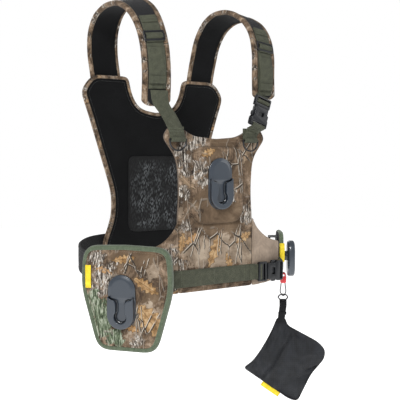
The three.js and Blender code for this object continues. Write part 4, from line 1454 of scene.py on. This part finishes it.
# each crease runs between two places, and has a height and a width
POUCH_CREASES = [
    ((24, -790), (-52, -912), -3.2, 2.6), ((30, -796), (-42, -912), 1.6, 6.0),
    ((92, -877), (54, -886), -4.2, 3.6), ((70, -896), (34, -908), -2.2, 5.0),
    ((-2, -760), (-34, -852), 2.4, 5.0), ((-12, -762), (-46, -838), -1.8, 3.5),
    ((6, -768), (2, -812), -2.6, 3.5), ((12, -776), (60, -812), -2.4, 5.0),
    ((-62, -846), (-92, -880), 1.8, 4.0), ((-70, -862), (-52, -900), -1.8, 5.0),
    ((-10, -930), (34, -886), -1.6, 7.0), ((60, -830), (92, -850), 1.4, 7.0),
]


def rounded(corners, steps=6):
    """An outline through corners (x, y, reach), each replaced by a curve of its reach."""
    points = []
    for (bx, by, _), (x, y, reach), (ax, ay, _) in zip(corners[-1:] + corners[:-1], corners,
                                                       corners[1:] + corners[:1]):
        here = np.array([x, y], float)
        first, last = (here + (np.array(p) - here) * reach / np.linalg.norm(np.array(p) - here)
                       for p in ((bx, by), (ax, ay)))
        for t in np.linspace(0, 1, steps):
            points.append((1 - t) ** 2 * first + 2 * t * (1 - t) * here + t * t * last)
    return np.array(points)


def pouch_relief(flat):
    """A folded edge that crosses the pouch, and creases that gather towards its neck."""
    total = bumpy(flat, 26, 0.0042, 3.3) + bumpy(flat, 60, 0.0022, 7.1)
    for start, finish, rise, wide in POUCH_CREASES:
        a, b = np.array(start) * MM, np.array(finish) * MM
        length = np.linalg.norm(b - a)
        way = (b - a) / length
        run = (flat - a) @ way
        off = (flat - a) @ np.array([-way[1], way[0]])
        off = off + 0.002 * np.sin(run * 90 + rise)
        ends = np.clip((run + 0.004) / 0.012, 0, 1) * np.clip((length + 0.006 - run) / 0.02, 0, 1)
        total += 1.35 * rise * MM * ends * np.exp(-((off / (wide * MM)) ** 2))
    return total


def add_pouch():
    plane = Plane(POUCH_AZIMUTH, *TETHER_AT)
    loop = soft_outline(rounded(POUCH_CORNERS) * MM, rounds=2)
    bag = panel("pouch_bag", plane, loop, -3.0, 3.0, [RIPSTOP], "pouch", crown=10.0, reach=34,
                edge=2.6, spacing=2.6, both=True, uneven=0.8, seed=41.0, relief=pouch_relief)
    stands_in(bag, "black_nylon", "pouch")
    binding("pouch_seam", plane, inset(loop, -0.5 * MM), 3.2, -1.6, 1.6, BLACK_WEBBING, "pouch", 0.5)
    (x, y, _), (far_x, far_y, _) = POUCH_CORNERS[9], POUCH_CORNERS[8]
    slope = math.degrees(math.atan2(far_y - y, far_x - x))
    add_tag("pouch_tag", Plane(POUCH_AZIMUTH, *TETHER_AT, lean=slope))
    nylon = {"look": BLACK_WEBBING, "slot": "black_nylon"}
    path = on_plane(plane, [-5, -4, -2, 0, 0, 0], [-764, -752, -738, -722, -712, -707.5],
                    [4.6, 3.2, 1.2, 1.6, 2.0, 0.6])
    ribbon("pouch_strap", path, plane.right, "pouch", "pouch_webbing", width=18, thick=1.6, count=30, **nylon)
    path = on_plane(plane, [0, 0, 0, 0, 0, -2, -4], [-707.5, -705.2, -706.2, -712, -722, -740, -756],
                    [0.6, -0.6, -2.4, -2.4, -1.6, -1.2, -0.8])
    ribbon("pouch_strap_back", path, plane.right, "pouch", width=17, thick=1.4, count=36, **nylon)
    path = on_plane(plane, [-12.0, 8.6], [-742, -740], [2.6, 2.6])
    ribbon("pouch_keeper", path, (0, 0, 1), "pouch", width=8, thick=1.3, count=12, **nylon)
    hard("tether_ring", STEEL, 1.2, 3)
    hard("tether_connector", RED, 1.0, 3)


# ---- floor and light ----
def add_stage():
    look = Look("pale_floor", roughness=0.9, specular=0.1)
    look.color(rgb(0.93, 0.93, 0.93))
    look.shader.inputs["Emission Color"].default_value = rgb(1, 1, 1)
    look.shader.inputs["Emission Strength"].default_value = 0.75
    count, radius, level = 64, 9.0, -1.35
    ring = [(radius * math.cos(2 * math.pi * k / count), radius * math.sin(2 * math.pi * k / count), level)
            for k in range(count)]
    mesh = bpy.data.meshes.new("floor")
    mesh.from_pydata(ring, [], [tuple(range(count))])
    mesh.materials.append(look.material)
    placed("floor", mesh)


def add_light(name, place, target, size, power):
    data = bpy.data.lights.new(name, "AREA")
    data.shape = "DISK"
    data.size = size
    data.energy = power
    lamp = placed(name, data)
    lamp.location = place
    lamp.rotation_euler = (Vector(target) - Vector(place)).to_track_quat("-Z", "Y").to_euler()


def add_lights():
    world = bpy.data.worlds.new("studio")
    world.use_nodes = True
    tree = world.node_tree
    shade = tree.nodes["Background"]
    shade.inputs["Color"].default_value = rgb(1, 1, 1)
    path = tree.nodes.new("ShaderNodeLightPath")
    level = tree.nodes.new("ShaderNodeMapRange")
    level.inputs["To Min"].default_value = 0.38
    level.inputs["To Max"].default_value = 1.0
    tree.links.new(path.outputs["Is Camera Ray"], level.inputs["Value"])
    tree.links.new(level.outputs[0], shade.inputs["Strength"])
    bpy.context.scene.world = world
    aim = (0.0, -0.1, -0.42)
    add_light("key", (-2.2, -2.0, 1.9), aim, 0.9, 112)
    add_light("fill", (2.2, -1.8, 0.5), aim, 1.8, 16)
    add_light("back", (0.6, 2.4, 1.2), aim, 1.8, 30)


bpy.context.scene.view_settings.view_transform = "Standard"
add_camera()
add_cord()
add_stage()
add_lights()
add_chest()
add_back()
for hand, sign in (("right", -1), ("left", 1)):
    add_wing(hand)
    add_strap(hand, sign)
add_rings()
add_lower_webbing()
add_buckles()
add_belt("right", -1, 0)
add_belt("left", 1, 2)
add_waist_webbing()
add_holster()
add_hip_pad()
add_pouch()
